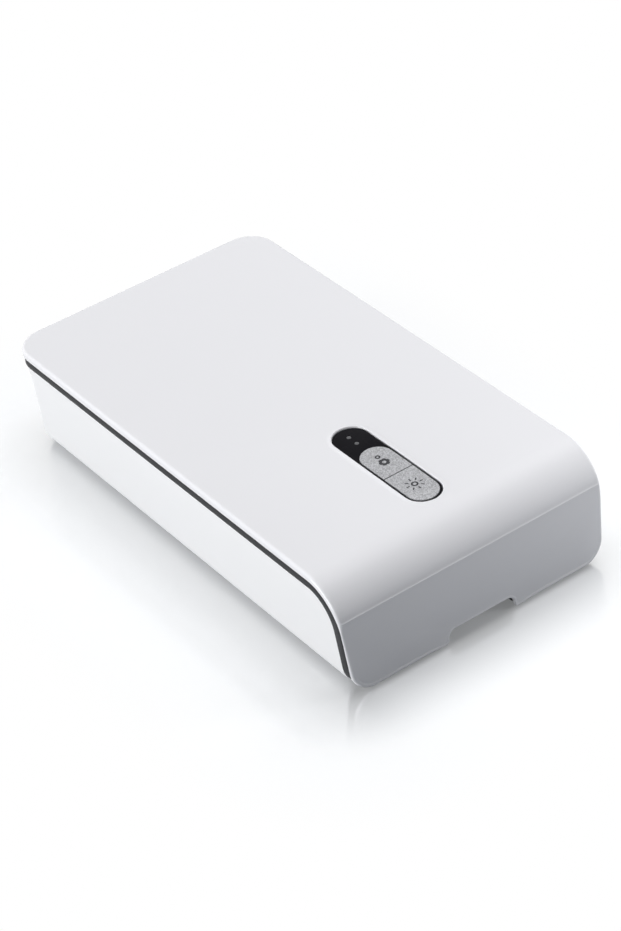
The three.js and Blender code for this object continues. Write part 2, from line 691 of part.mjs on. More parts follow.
function baseShell() {
  const outer = shellLoft(0, shell.rounding, shellBottom, shellTop);
  let solid = cut(outer.intersect(underSheet(baseDepth, shellBottom)), shellSpace());
  for (const [x, y] of screwPlaces) {
    solid = cut(
      solid,
      disc(baseScrew.headRadius + overall.clearance, -overall.overrun, shellBottom + baseScrew.sunk, x, y),
      disc(baseScrew.shaftRadius + overall.clearance, 0, baseScrew.postTop + overall.overrun, x, y, 12),
    );
  }
  for (const [x, y] of boardPostPlaces) {
    const hole = mainBoard.screwRadius + overall.clearance;
    solid = cut(solid, disc(hole, floorTop, mainBoard.bottom, x, y, 10));
  }
  for (const [x, y] of footPlaces) {
    const recess = foot.radius + overall.clearance;
    solid = cut(solid, disc(recess, -overall.overrun, foot.height + overall.clearance, x, y));
  }
  for (const [side] of sides) solid = baseKnuckles(solid, side);
  return cut(solid, socketSlot());
}

function socketSlot() {
  const room = overall.clearance / 2;
  const across = socket.width / 2 + overall.clearance;
  const high = componentLow + socket.height + overall.clearance + room;
  const slot = roundedShape(across, componentLow - room, high, socket.corner + room);
  return prismAlong(slot, socketFace - socket.depth / 2, halfLength);
}

function baseKnuckles(tub, side) {
  const { lid, base } = knuckleSpans(side);
  let solid = cut(tub, knuckleRelief(lid));
  for (const span of base) solid = joined(solid, onHinge(hinge.knuckleRadius, ...span));
  return cut(solid, pinHole(base[0][0], base[1][1]));
}

function hingePin(side) {
  const { base } = knuckleSpans(side);
  return onHinge(hinge.pinRadius, base[0][0] + overall.clearance, base[1][1] - overall.clearance);
}

// The pan's plan outline at a height, drawn in evenly from its mouth to its floor
function panRing(z, grow) {
  const share = (flangeTop - z) / (flangeTop - pan.floor);
  const inset = pan.draft * share - grow;
  const half = panHalf - inset;
  const corner = pan.corner - inset;
  const ring = [];
  for (let step = 0; step <= pan.cornerSteps; step += 1) {
    const angle = (step / pan.cornerSteps) * Math.PI / 2;
    const along = panRear - inset - corner * (1 - Math.cos(angle));
    ring.push(new THREE.Vector3(half - corner * (1 - Math.sin(angle)), along, z));
  }
  for (let step = 0; step <= pan.cornerSteps; step += 1) {
    const angle = (step / pan.cornerSteps) * Math.PI / 2;
    const along = panFront + inset + corner * (1 - Math.sin(angle));
    ring.push(new THREE.Vector3(half - corner * (1 - Math.cos(angle)), along, z));
  }
  return ring;
}

// A round-bottomed trough under a base lamp, down from a height at or above the pan's floor
function trough(grow, top, x) {
  const shape = new THREE.Shape();
  const half = troughs.half + grow;
  shape.moveTo(half, top);
  shape.absellipse(0, pan.floor, half, troughs.sink + grow, 0, Math.PI, true, 0);
  shape.lineTo(-half, top);
  const reach = lampReach + grow;
  return prismAlong(shape, lampMiddle - reach, lampMiddle + reach, 4).translate(x, 0, 0);
}

// The tray before its hollows: a flange, the pan's outside, troughs, cup and bosses
function trayBody() {
  const rim = shellRing(flangeUnder, shell.wall + overall.clearance);
  const flange = prism(roundedShape(
    rim[sheet.cornerSteps].x, mouthFront + overall.clearance, rim[0].y,
    overall.clearance, shell.rearCorner - shell.wall,
  ), flangeUnder, flangeTop, 3);
  const outside = pairedLoft([panRing(pan.floor - pan.wall, pan.wall), panRing(flangeTop, pan.wall)]);
  const pieces = [flange, outside];
  for (const [side] of sides) pieces.push(trough(pan.wall, pan.floor, side * troughCentre));
  const cupLow = pan.floor - aroma.cupDepth - aroma.cupWall;
  pieces.push(disc(aroma.cupRadius, cupLow, pan.floor - pan.wall / 2, 0, aromaMiddle, 24));
  for (const [x, y] of screwPlaces) {
    const low = baseScrew.postTop + overall.clearance;
    pieces.push(disc(baseScrew.bossRadius, low, flangeMiddle, x, y));
  }
  for (const [x, y] of magnetPlaces) {
    const low = flangeTop - magnet.skin - magnet.height - 2 * overall.clearance;
    pieces.push(disc(magnet.radius + magnet.skin, low, flangeMiddle, x, y));
  }
  return joined(...pieces);
}

function baseTray() {
  const over = overall.overrun;
  let solid = cut(trayBody(), pairedLoft([panRing(pan.floor, 0), panRing(flangeTop + over, 0)]));
  for (const [side] of sides) solid = cut(solid, trough(0, pan.floor + over, side * troughCentre));
  const cup = aroma.cupRadius - aroma.cupWall;
  solid = cut(solid, disc(cup, pan.floor - aroma.cupDepth, pan.floor + over, 0, aromaMiddle, 24));
  for (const [x, y] of screwPlaces) {
    const top = baseScrewLow + baseScrew.headHeight + baseScrew.length + overall.clearance;
    solid = cut(solid, disc(baseScrew.shaftRadius + overall.clearance, 0, top, x, y, 12));
  }
  for (const [x, y] of magnetPlaces) {
    solid = cut(solid, disc(magnet.radius + overall.clearance, 0, flangeTop - magnet.skin, x, y));
  }
  return cut(solid, sealRing(overall.clearance, flangeTop - seal.groove, flangeTop + over));
}

function sealRing(grow, low, high) {
  const inner = seal.offset - grow;
  const outer = seal.offset + seal.width + grow;
  const sizes = (offset) => [panHalf + offset, panFront - offset, panRear + offset, pan.corner + offset];
  const shape = roundedShape(...sizes(outer));
  shape.holes.push(roundedOutline(new THREE.Path(), ...sizes(inner)));
  return prism(shape, low, high, 4);
}

function chamberSeal() {
  const low = flangeTop - seal.groove + seal.sunk;
  return sealRing(0, low, low + seal.height);
}

// Two rails with cross bars that rise to a rounded top, where the phone lies
function phoneRack() {
  const low = pan.floor + overall.clearance;
  const top = low + rack.height;
  const middle = panHalf - rack.fromPanSide;
  const front = panFront + rack.endRoom;
  const rear = panRear - rack.endRoom;
  const rail = new THREE.Shape();
  rail.moveTo(front, top - rack.barHeight);
  rail.lineTo(front, top - rack.foot);
  rail.lineTo(front + rack.foot, top);
  rail.lineTo(rear - rack.foot, top);
  rail.lineTo(rear, top - rack.foot);
  rail.lineTo(rear, top - rack.barHeight);
  rail.closePath();
  const legLength = 2 * rack.railWidth;
  const pieces = [];
  for (const [side] of sides) {
    const x = side * middle;
    pieces.push(prismAcross(rail, x - rack.railWidth / 2, x + rack.railWidth / 2));
    for (const y of [front, lampMiddle - rack.railWidth, rear - legLength]) {
      pieces.push(block(rack.railWidth / 2, y, y + legLength, low, top - rack.foot, x));
    }
  }
  const round = rack.barWidth / 2;
  const bar = new THREE.Shape();
  bar.moveTo(-round, top - rack.barHeight);
  bar.lineTo(round, top - rack.barHeight);
  bar.lineTo(round, top - round);
  bar.absarc(0, top - round, round, 0, Math.PI, false);
  const pitch = (rear - front - rack.barWidth) / (rack.bars - 1);
  for (let step = 0; step < rack.bars; step += 1) {
    pieces.push(prismAcross(bar, -middle, middle, 3).translate(0, front + round + step * pitch, 0));
  }
  return joined(...pieces);
}

function baseScrewBody(x, y) {
  const headTop = baseScrewLow + baseScrew.headHeight;
  const { headRadius, shaftRadius, length } = baseScrew;
  return screwBody(baseScrewLow, headTop, headTop + length, headRadius, shaftRadius, x, y);
}

function rubberFoot(x, y) {
  const { radius, edge, height } = foot;
  return turned([[0, 0], [radius - edge, 0], [radius, edge], [radius, height], [0, height]], x, y, 16);
}

function controlBoard() {
  const front = pillFront - board.pastPillFront;
  const rear = pillRear + board.pastPillRear;
  return prism(roundedShape(board.halfWidth, front, rear, board.corner), boardUnder, boardTop);
}

function mainBoardBody() {
  const shape = roundedShape(boardHalf, boardFront, boardRear, mainBoard.corner);
  for (const [x, y] of boardPostPlaces) {
    const hole = new THREE.Path();
    hole.absarc(x, y, mainBoard.screwRadius + overall.clearance, 0, 2 * Math.PI, false);
    shape.holes.push(hole);
  }
  return prism(shape, mainBoard.bottom, componentLow, 3);
}

function boardScrewBody(x, y) {
  const low = componentLow + overall.fit;
  const tip = floorTop + overall.clearance;
  const { screwHead, screwRadius, screwHeadHeight } = mainBoard;
  return screwBody(low + screwHeadHeight, low, tip, screwHead, screwRadius, x, y, 12);
}

// The wound driver: a rounded body with grooves between its winding chambers
function lampDriver() {
  const { width, length, height, corner, rib, slots } = driver;
  const front = driverMiddle - length / 2;
  const top = componentLow + height;
  let solid = prism(roundedShape(width / 2, front, front + length, corner), componentLow, top);
  for (let step = 1; step <= slots; step += 1) {
    const y = front + step * length / (slots + 1);
    solid = cut(solid, block(width, y - rib / 2, y + rib / 2, top - rib, top + rib));
  }
  return solid;
}

// The socket's drawn steel sleeve, open to the rear, with the contact tongue inside
function usbSocket() {
  const { width, height, wall, corner, tongue, tongueWidth } = socket;
  const front = socketFace - socket.depth;
  const low = componentLow;
  const outer = roundedShape(width / 2, low, low + height, corner);
  const inner = roundedShape(width / 2 - wall, low + wall, low + height - wall, corner - wall);
  const middle = low + height / 2;
  const sleeve = cut(
    prismAlong(outer, front, socketFace),
    prismAlong(inner, front + 2 * wall, socketFace + overall.overrun),
  );
  return joined(sleeve, block(
    tongueWidth / 2, front + wall, socketFace - 2 * wall, middle - tongue / 2, middle + tongue / 2,
  ));
}

function lidSensor() {
  const [x, y] = magnetPlaces[1];
  const top = flangeUnder - overall.clearance;
  const shape = roundedShape(sensor.width / 2, -sensor.length / 2, sensor.length / 2, overall.clearance);
  return prism(shape, top - sensor.height, top, 2).translate(x, y + sensor.behindMagnet, 0);
}

function aromaCap() {
  const low = padLow + aroma.padHeight + overall.clearance;
  let solid = disc(padRadius, low, low + aroma.capHeight, 0, aromaMiddle, 24);
  for (let step = 0; step < aroma.slots; step += 1) {
    const off = (step - (aroma.slots - 1) / 2) * aroma.slotPitch;
    const reach = Math.sqrt(padRadius ** 2 - off ** 2) * aroma.slotShare;
    const front = aromaMiddle + off - aroma.slotWidth / 2;
    const slot = roundedShape(reach, front, front + aroma.slotWidth, aroma.slotCorner);
    solid = cut(solid, prism(slot, low - overall.overrun, low + overall.overrun, 2));
  }
  return solid;
}

// The object: a lid that carries the keys, on a base
const root = new THREE.Group();

function place(name, solid, material) {
  const mesh = new THREE.Mesh(toGeometry(solid), finishes[material]);
  mesh.name = name;
  root.add(mesh);
}

function placeLamp(name, x, height) {
  const [part, label] = name.split(' ');
  place(`${part}_lamp_${label}`, lampTube(x, height), 'glass');
  place(`${part}_lamp_holder_${label}_front`, lampHolder(x, height, -1), 'ceramic');
  place(`${part}_lamp_holder_${label}_rear`, lampHolder(x, height, 1), 'ceramic');
}

function placeMagnet(name, low, [x, y]) {
  place(name, disc(magnet.radius, low, low + magnet.height, x, y), 'steel');
}

function buildLid() {
  place('lid_cover', lidCover(), 'glossWhite');
  place('lid_frame', lidFrame(), 'darkGrey');
  place('control_bezel', controlBezel(), 'black');
  place('control_board', controlBoard(), 'greenBoard');
  for (const [name, fromRear] of Object.entries(indicators.fromPillRear)) {
    const low = pillTop - indicators.length;
    place(name, disc(indicators.radius, low, pillTop, 0, pillRear - fromRear, 12), 'lens');
  }
  sides.forEach(([side, label], index) => {
    place(`lid_reflector_${label}`, lidReflector(side), 'mirror');
    placeLamp(`lid ${label}`, side * reflectorCentre, lidLampHeight);
    placeMagnet(`lid_magnet_${label}`, lidUnder + magnet.skin + overall.clearance, magnetPlaces[index]);
  });
  lidScrewPlaces.forEach(([x, y], index) => {
    place(`lid_screw_${index + 1}`, lidScrewBody(x, y), 'steel');
  });
}

function buildKeys() {
  for (const [name, y] of Object.entries(keyCentres)) {
    const [label] = name.split('_');
    place(name, keyCap(name), 'silver');
    place(`${label}_plunger`, disc(keys.plungerRadius, plungerLow, plungerTop, 0, y, 12), 'black');
    place(`${label}_switch`, keySwitch(y), 'steel');
  }
}

function buildBase() {
  place('base_shell', baseShell(), 'satinWhite');
  place('base_tray', baseTray(), 'mirror');
  place('chamber_seal', chamberSeal(), 'rubber');
  place('phone_rack', phoneRack(), 'clear');
  sides.forEach(([side, label], index) => {
    const magnetLow = flangeTop - magnet.skin - overall.fit - magnet.height;
    placeLamp(`base ${label}`, side * troughCentre, baseLampHeight);
    placeMagnet(`base_magnet_${label}`, magnetLow, magnetPlaces[index]);
    place(`hinge_pin_${label}`, hingePin(side), 'steel');
  });
  place('aroma_pad', disc(padRadius, padLow, padLow + aroma.padHeight, 0, aromaMiddle, 24), 'felt');
  place('aroma_cap', aromaCap(), 'satinWhite');
  place('main_board', mainBoardBody(), 'greenBoard');
  place('lamp_driver', lampDriver(), 'black');
  place('usb_socket', usbSocket(), 'steel');
  place('lid_sensor', lidSensor(), 'black');
  footPlaces.forEach(([x, y], index) => place(`foot_${index + 1}`, rubberFoot(x, y), 'rubber'));
  screwPlaces.forEach(([x, y], index) => {
    place(`base_screw_${index + 1}`, baseScrewBody(x, y), 'steel');
  });
  boardScrewPlaces.forEach(([x, y], index) => {
    place(`board_screw_${index + 1}`, boardScrewBody(x, y), 'steel');
  });
}

buildLid();
buildKeys();
buildBase();

export default root;
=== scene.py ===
import json
import math

import bmesh
import bpy
import numpy as np
from mathutils import Matrix, Vector
from mathutils.geometry import delaunay_2d_cdt

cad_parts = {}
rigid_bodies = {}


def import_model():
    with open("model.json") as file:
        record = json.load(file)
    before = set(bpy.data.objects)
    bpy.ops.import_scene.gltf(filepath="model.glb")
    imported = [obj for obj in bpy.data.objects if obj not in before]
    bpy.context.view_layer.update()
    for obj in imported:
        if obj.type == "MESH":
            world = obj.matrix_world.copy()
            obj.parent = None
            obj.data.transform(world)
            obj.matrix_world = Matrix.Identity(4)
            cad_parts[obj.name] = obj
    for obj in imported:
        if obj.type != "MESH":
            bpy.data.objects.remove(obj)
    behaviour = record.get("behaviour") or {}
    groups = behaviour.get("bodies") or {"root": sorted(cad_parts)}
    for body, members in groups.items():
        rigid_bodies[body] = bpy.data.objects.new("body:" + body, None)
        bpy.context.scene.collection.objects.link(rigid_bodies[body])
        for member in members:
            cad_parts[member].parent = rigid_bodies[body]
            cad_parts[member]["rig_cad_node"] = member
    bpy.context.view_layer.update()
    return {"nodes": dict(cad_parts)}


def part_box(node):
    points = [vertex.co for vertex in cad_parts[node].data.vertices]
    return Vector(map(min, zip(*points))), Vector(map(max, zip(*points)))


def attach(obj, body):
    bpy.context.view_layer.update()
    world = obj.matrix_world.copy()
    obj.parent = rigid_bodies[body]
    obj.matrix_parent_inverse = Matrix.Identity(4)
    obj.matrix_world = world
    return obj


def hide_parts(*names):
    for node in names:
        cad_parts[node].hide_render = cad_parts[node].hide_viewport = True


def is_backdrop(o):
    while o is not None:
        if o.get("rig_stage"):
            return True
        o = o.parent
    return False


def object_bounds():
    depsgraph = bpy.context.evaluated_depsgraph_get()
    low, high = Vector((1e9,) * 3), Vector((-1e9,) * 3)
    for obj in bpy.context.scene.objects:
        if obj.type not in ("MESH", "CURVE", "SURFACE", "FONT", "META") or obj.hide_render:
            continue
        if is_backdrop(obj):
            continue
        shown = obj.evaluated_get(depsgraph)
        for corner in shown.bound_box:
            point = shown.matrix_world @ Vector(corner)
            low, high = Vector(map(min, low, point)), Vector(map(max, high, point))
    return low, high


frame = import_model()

# Sizes below are in millimetres, as in the CAD source; meshes are made in metres.
mm = 0.001
scene = bpy.context.scene
for thing in list(bpy.data.objects):  # whatever the start-up file holds
    if "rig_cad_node" not in thing and not thing.name.startswith("body:"):
        bpy.data.objects.remove(thing)
print("frame loaded:", len(frame["nodes"]), "nodes")

# ---- camera
cameraView = {
    "target": (-0.001575, -0.017146, 0.025), "distance": 1.0702,
    "azimuth": -32.5, "elevation": 36.32, "roll": -6.67,
    "lens": 109.03, "sensor": 36, "shiftX": -0.0125, "shiftY": -0.00277, "clip": (0.01, 50),
}


def take(sizes, names):
    return [sizes[name] for name in names.split()]


def setCamera(view):
    azimuth, elevation, roll = map(math.radians, take(view, "azimuth elevation roll"))
    level = math.cos(elevation)
    back = Vector((math.sin(azimuth) * level, -math.cos(azimuth) * level, math.sin(elevation)))
    right = Vector((math.cos(azimuth), math.sin(azimuth), 0))
    up = back.cross(right)
    turnedRight = right * math.cos(roll) + up * math.sin(roll)
    turnedUp = up * math.cos(roll) - right * math.sin(roll)
    data = bpy.data.cameras.new("camera")
    data.lens, data.sensor_width, data.shift_x, data.shift_y = take(view, "lens sensor shiftX shiftY")
    data.clip_start, data.clip_end = view["clip"]
    camera = bpy.data.objects.new("camera", data)
    facing = Matrix((turnedRight, turnedUp, back)).transposed().to_4x4()
    camera.matrix_world = Matrix.Translation(Vector(view["target"]) + back * view["distance"]) @ facing
    scene.collection.objects.link(camera)
    scene.camera = camera


setCamera(cameraView)
print("camera set")


# ---- material nodes
def addNode(tree, kind, inputs=None, **settings):
    node = tree.nodes.new(kind)
    for key, value in settings.items():
        setattr(node, key, value)
    for socket, value in (inputs or {}).items():
        if isinstance(value, bpy.types.NodeSocket):
            tree.links.new(value, node.inputs[socket])
        else:
            node.inputs[socket].default_value = value
    return node


def calculate(tree, operation, one, other=0.0):
    return addNode(tree, "ShaderNodeMath", {0: one, 1: other}, operation=operation).outputs[0]


def newMaterial(name):
    material = bpy.data.materials.new(name)
    material.use_nodes = True
    return material, material.node_tree


def noiseOn(tree, place, scale, detail):
    noise = addNode(tree, "ShaderNodeTexNoise", {"Vector": place, "Scale": scale, "Detail": detail})
    return noise.outputs["Fac"]


def mapRange(tree, value, start, end, **settings):
    return addNode(tree, "ShaderNodeMapRange", {
        "Value": value, "From Min": start[0], "From Max": start[1], "To Min": end[0], "To Max": end[1],
    }, **settings).outputs["Result"]


# A mix node's colour sockets share their names with its other kinds, so they go by number
def mixColors(tree, factor, one, other, **settings):
    return addNode(
        tree, "ShaderNodeMix", {"Factor": factor, 6: one, 7: other}, data_type="RGBA", **settings,
    ).outputs[2]


finishDefaults = {
    "patchScale": 35, "patchDetail": 3, "glossScale": 120, "glossDetail": 4, "glossSpan": (0.3, 0.7),
    "grainDetail": 3, "grainStrength": 0.5, "flakeStops": (0.2, 0.8), "sockets": {},
}


# One finish: two close tones in soft patches, an uneven gloss and a fine relief
def makeFinish(name, look):
    look = finishDefaults | look
    material, tree = newMaterial(name)
    shader = tree.nodes["Principled BSDF"]
    place = addNode(tree, "ShaderNodeTexCoord").outputs["Object"]
    if "stretch" in look:
        stretched = addNode(tree, "ShaderNodeMapping", {"Vector": place, "Scale": look["stretch"]})
        place = stretched.outputs["Vector"]
    patches = noiseOn(tree, place, *take(look, "patchScale patchDetail"))
    color = mixColors(tree, patches, (*look["color"], 1), (*look["shade"], 1))
    if "flakeScale" in look:  # single metal flakes, lighter and darker than their ground
        flakes = addNode(tree, "ShaderNodeTexVoronoi", {"Vector": place, "Scale": look["flakeScale"]})
        ramp = addNode(tree, "ShaderNodeValToRGB", {"Fac": flakes.outputs["Color"]})
        for stop, at, tone in zip(ramp.color_ramp.elements, look["flakeStops"], look["flakeTones"]):
            stop.position, stop.color = at, (tone, tone, tone, 1)
        color = mixColors(tree, 1.0, color, ramp.outputs["Color"], blend_type="MULTIPLY")
    unevenness = noiseOn(tree, place, *take(look, "glossScale glossDetail"))
    relief = addNode(tree, "ShaderNodeBump", {
        "Height": noiseOn(tree, place, *take(look, "grainScale grainDetail")),
        "Strength": look["grainStrength"], "Distance": look["grainDepth"] * mm,
    })
    tree.links.new(color, shader.inputs["Base Color"])
    tree.links.new(mapRange(tree, unevenness, look["glossSpan"], look["roughness"]), shader.inputs["Roughness"])
    tree.links.new(relief.outputs["Normal"], shader.inputs["Normal"])
    for socket, value in look["sockets"].items():
        shader.inputs[socket].default_value = value
    return material


finishLooks = {
    "lidGlossWhite": {
        "color": (0.84, 0.84, 0.866), "shade": (0.822, 0.822, 0.85), "patchScale": 14,
        "roughness": (0.2, 0.26), "glossScale": 60, "grainScale": 900, "grainDepth": 0.004,
        "sockets": {"IOR": 1.49, "Coat Weight": 0.35, "Coat Roughness": 0.08},
    },
    "tubSatinWhite": {
        "color": (0.89, 0.892, 0.898), "shade": (0.872, 0.875, 0.882), "patchScale": 16,
        "roughness": (0.34, 0.42), "glossScale": 90, "grainScale": 2600, "grainDepth": 0.006,
        "sockets": {"IOR": 1.49},
    },
    "bandDarkGrey": {
        "color": (0.03, 0.0305, 0.033), "shade": (0.025, 0.0255, 0.028), "patchScale": 40,
        "roughness": (0.42, 0.52), "grainScale": 3000, "grainDepth": 0.012,
        "sockets": {"Specular IOR Level": 0.12},
    },
    "pillBlack": {
        "color": (0.0075, 0.0072, 0.009), "shade": (0.0105, 0.01, 0.0125), "patchScale": 60,
        "roughness": (0.22, 0.3), "grainScale": 2400, "grainDepth": 0.006,
        "sockets": {"Specular IOR Level": 0.03},
    },
    "keySilverPaint": {
        "color": (0.435, 0.438, 0.455), "shade": (0.387, 0.39, 0.406), "patchScale": 300,
        "flakeScale": 2600, "flakeTones": (0.72, 1.3),
        "roughness": (0.34, 0.5), "glossScale": 2000, "grainScale": 2600, "grainDepth": 0.02,
        "sockets": {"Metallic": 0.35, "Coat Weight": 0.2, "Coat Roughness": 0.15},
    },
    "chamberMirror": {
        "color": (0.86, 0.87, 0.885), "shade": (0.82, 0.83, 0.845), "patchScale": 22,
        "roughness": (0.13, 0.2), "glossScale": 40, "grainScale": 160, "grainDepth": 0.02,
        "grainStrength": 0.25, "sockets": {"Metallic": 1.0},
    },
    "reflectorSheet": {
        "color": (0.87, 0.875, 0.88), "shade": (0.8, 0.805, 0.81), "patchScale": 30,
        "stretch": (60, 1, 60), "roughness": (0.1, 0.22), "glossScale": 30,
        "grainScale": 60, "grainDepth": 0.006, "sockets": {"Metallic": 1.0},
    },
    "holderCeramic": {
        "color": (0.86, 0.85, 0.81), "shade": (0.8, 0.79, 0.74), "patchScale": 260,
        "roughness": (0.5, 0.7), "grainScale": 3200, "grainDepth": 0.03,
    },
    "softRubber": {
        "color": (0.022, 0.022, 0.023), "shade": (0.032, 0.032, 0.033), "patchScale": 150,
        "roughness": (0.62, 0.85), "grainScale": 2800, "grainDepth": 0.04,
    },
    "sealRubber": {
        "color": (0.085, 0.087, 0.09), "shade": (0.07, 0.072, 0.075), "patchScale": 120,
        "roughness": (0.6, 0.78), "grainScale": 2600, "grainDepth": 0.03,
    },
    "platedSteel": {
        "color": (0.62, 0.62, 0.61), "shade": (0.5, 0.5, 0.495), "patchScale": 420,
        "roughness": (0.2, 0.38), "glossScale": 600, "grainScale": 1800, "grainDepth": 0.01,
        "sockets": {"Metallic": 1.0},
    },
    "contactGold": {
        "color": (0.86, 0.62, 0.25), "shade": (0.76, 0.53, 0.2), "patchScale": 900,
        "roughness": (0.2, 0.32), "grainScale": 2600, "grainDepth": 0.006, "sockets": {"Metallic": 1.0},
    },
    "aromaFelt": {
        "color": (0.78, 0.74, 0.65), "shade": (0.62, 0.58, 0.5), "patchScale": 700,
        "roughness": (0.85, 1.0), "grainScale": 1900, "grainDepth": 0.25, "grainDetail": 8,
        "sockets": {"Sheen Weight": 0.4},
    },
    "capSatinWhite": {
        "color": (0.8, 0.81, 0.81), "shade": (0.77, 0.78, 0.78), "patchScale": 80,
        "roughness": (0.38, 0.48), "grainScale": 2600, "grainDepth": 0.01,
    },
    "boardGreen": {
        "color": (0.02, 0.13, 0.055), "shade": (0.03, 0.19, 0.08), "patchScale": 260,
        "roughness": (0.3, 0.42), "grainScale": 900, "grainDepth": 0.02,
    },
    "driverBlack": {
        "color": (0.02, 0.02, 0.022), "shade": (0.03, 0.029, 0.03), "patchScale": 160,
        "roughness": (0.4, 0.6), "grainScale": 2000, "grainDepth": 0.03,
    },
    "smokedLens": {
        "color": (0.07, 0.071, 0.076), "shade": (0.095, 0.096, 0.102), "patchScale": 500,
        "roughness": (0.2, 0.3), "grainScale": 2600, "grainDepth": 0.006,
    },
    "signInk": {
        "color": (0.012, 0.012, 0.016), "shade": (0.018, 0.018, 0.022), "patchScale": 900,
        "roughness": (0.4, 0.55), "grainScale": 3000, "grainDepth": 0.006,
    },
    "lampQuartz": {
        "color": (0.95, 0.965, 0.98), "shade": (0.9, 0.93, 0.96), "patchScale": 60,
        "roughness": (0.0, 0.03), "grainScale": 200, "grainDepth": 0.004,
        "sockets": {"IOR": 1.46, "Transmission Weight": 0.92},
    },
    "rackClear": {
        "color": (0.93, 0.955, 0.965), "shade": (0.89, 0.93, 0.945), "patchScale": 60,
        "roughness": (0.2, 0.3), "grainScale": 300, "grainDepth": 0.006,
        "sockets": {"IOR": 1.49, "Transmission Weight": 0.5},
    },
}
finishes = {name: makeFinish(name, look) for name, look in finishLooks.items()}
print("finishes made:", len(finishes))


# ---- mesh building: loops of flat points, walls through their offsets, and filled caps
weldDistance = 2e-8  # metres


def clamped(value):
    return min(max(value, 0), 1)


def quarter(steps):
    return [math.pi / 2 * k / steps for k in range(steps + 1)]


def shifted(x=0, y=0, z=0):
    return lambda u, v, height: (x + u, y + v, z + height)


upright = shifted()


def downFrom(top):
    return lambda u, v, depth: (u, v, top - depth)


def alongY(x, start, z, way=1):
    return lambda u, v, depth: (x + u, start + way * depth, z + v)


def alongX(start, y=0, z=0):
    return lambda u, v, depth: (start + depth, y + u, z + v)


def arcPoints(centreX, centreY, radius, start, stop, steps):
    angles = [math.radians(start + (stop - start) * k / steps) for k in range(steps + 1)]
    return [(centreX + radius * math.cos(a), centreY + radius * math.sin(a)) for a in angles]


def roundedLoop(left, right, low, high, corner, steps=6):
    return (
        arcPoints(right - corner, low + corner, corner, -90, 0, steps)
        + arcPoints(right - corner, high - corner, corner, 0, 90, steps)
        + arcPoints(left + corner, high - corner, corner, 90, 180, steps)
        + arcPoints(left + corner, low + corner, corner, 180, 270, steps)
    )


def circleLoop(x, y, radius, steps=28):
    return arcPoints(x, y, radius, 0, 360 - 360 / steps, steps - 1)


def tidyLoop(loop, gap=1e-4):
    return [p for i, p in enumerate(loop) if math.dist(p, loop[i - 1]) > gap]


def newShape():
    return {"points": [], "flat": [], "faces": []}


def addRing(shape, flat, depths, place=upright):
    if not isinstance(depths, list):
        depths = [depths] * len(flat)
    first = len(shape["points"])
    for (u, v), depth in zip(flat, depths):
        shape["flat"].append((u, v))
        shape["points"].append(place(u, v, depth))
    return list(range(first, first + len(flat)))


# Faces from each ring to the next, where a ring may also be a single tip
def stitch(shape, rings):
    for one, other in zip(rings, rings[1:]):
        if len(other) == 1:
            one, other = other, one
        for i, corner in enumerate(other):
            j = (i + 1) % len(other)
            face = (one[0], corner, other[j]) if len(one) == 1 else (one[i], one[j], other[j], corner)
            shape["faces"].append(face)
    return rings[0], rings[-1]


# A loop runs with the material on its left; each level is an inset into it and a depth
def addWall(shape, loop, levels, place=upright):
    count = len(loop)
    normals = []
    for i in range(count):
        before = Vector(loop[i]) - Vector(loop[i - 1])
        after = Vector(loop[(i + 1) % count]) - Vector(loop[i])
        first = Vector((-before.y, before.x)).normalized()
        middle = (first + Vector((-after.y, after.x)).normalized()).normalized()
        normals.append(middle / max(middle.dot(first), 0.5))
    rings = []
    for level in levels:
        pairs = level if isinstance(level, list) else [level] * count
        flat = [(x + n.x * inset, y + n.y * inset) for (x, y), n, (inset, _) in zip(loop, normals, pairs)]
        rings.append(addRing(shape, flat, [depth for _, depth in pairs], place))
    return stitch(shape, rings)


def insideRings(centres, loops):
    inside = np.zeros(len(centres), bool)
    x, y = centres[:, 0], centres[:, 1]
    for loop in loops:
        for (ax, ay), (bx, by) in zip(loop, loop[1:] + loop[:1]):
            if ay != by:
                across = (ay > y) != (by > y)
                inside ^= across & (x < (bx - ax) * (y - ay) / (by - ay) + ax)
    return inside


# Fills between an outer ring and the rings inside it; where the sheet bends there are
# edges across it, and they add points where they cross a ring
def fillCap(shape, rings, place=upright, depth=0, lines=()):
    indices = [i for ring in rings for i in ring]
    where = {index: k for k, index in enumerate(indices)}
    edges = [(where[a], where[b]) for ring in rings for a, b in zip(ring, ring[1:] + ring[:1])]
    edges += [(where[a], where[b]) for a, b in lines]
    flat = [Vector(shape["flat"][i]) for i in indices]
    coords, _, triangles, origins, _, _ = delaunay_2d_cdt(flat, edges, [], 0, 1e-7, True)
    mapped = []
    for point, origin in zip(coords, origins):
        mapped.append(indices[origin[0]] if origin else len(shape["points"]))
        if not origin:
            shape["flat"].append(tuple(point))
            shape["points"].append(place(point.x, point.y, depth))
    centres = np.array([sum((coords[i] for i in t), Vector((0, 0))) / 3 for t in triangles])
    loops = [[shape["flat"][i] for i in ring] for ring in rings]
    for triangle, kept in zip(triangles, insideRings(centres, loops)):
        if kept:
            shape["faces"].append(tuple(mapped[i] for i in triangle))


def fillCaps(shape, *caps):
    for rings in caps:
        fillCap(shape, rings)


# A hole or pocket: its mouth joins one cap, its end joins another or is closed
def addHole(shape, loop, levels, mouths, ends=None, place=upright):
    first, last = addWall(shape, loop[::-1], levels, place)
    mouths.append(first)
    if ends is None:
        fillCap(shape, [last])
    else:
        ends.append(last)


def roundOff(radius, steps):
    return [(radius * (1 - math.sin(a)), radius * (1 - math.cos(a))) for a in quarter(steps)]


def roundUnder(radius, steps, depth):
    return [(inset, depth - drop) for inset, drop in reversed(roundOff(radius, steps))]


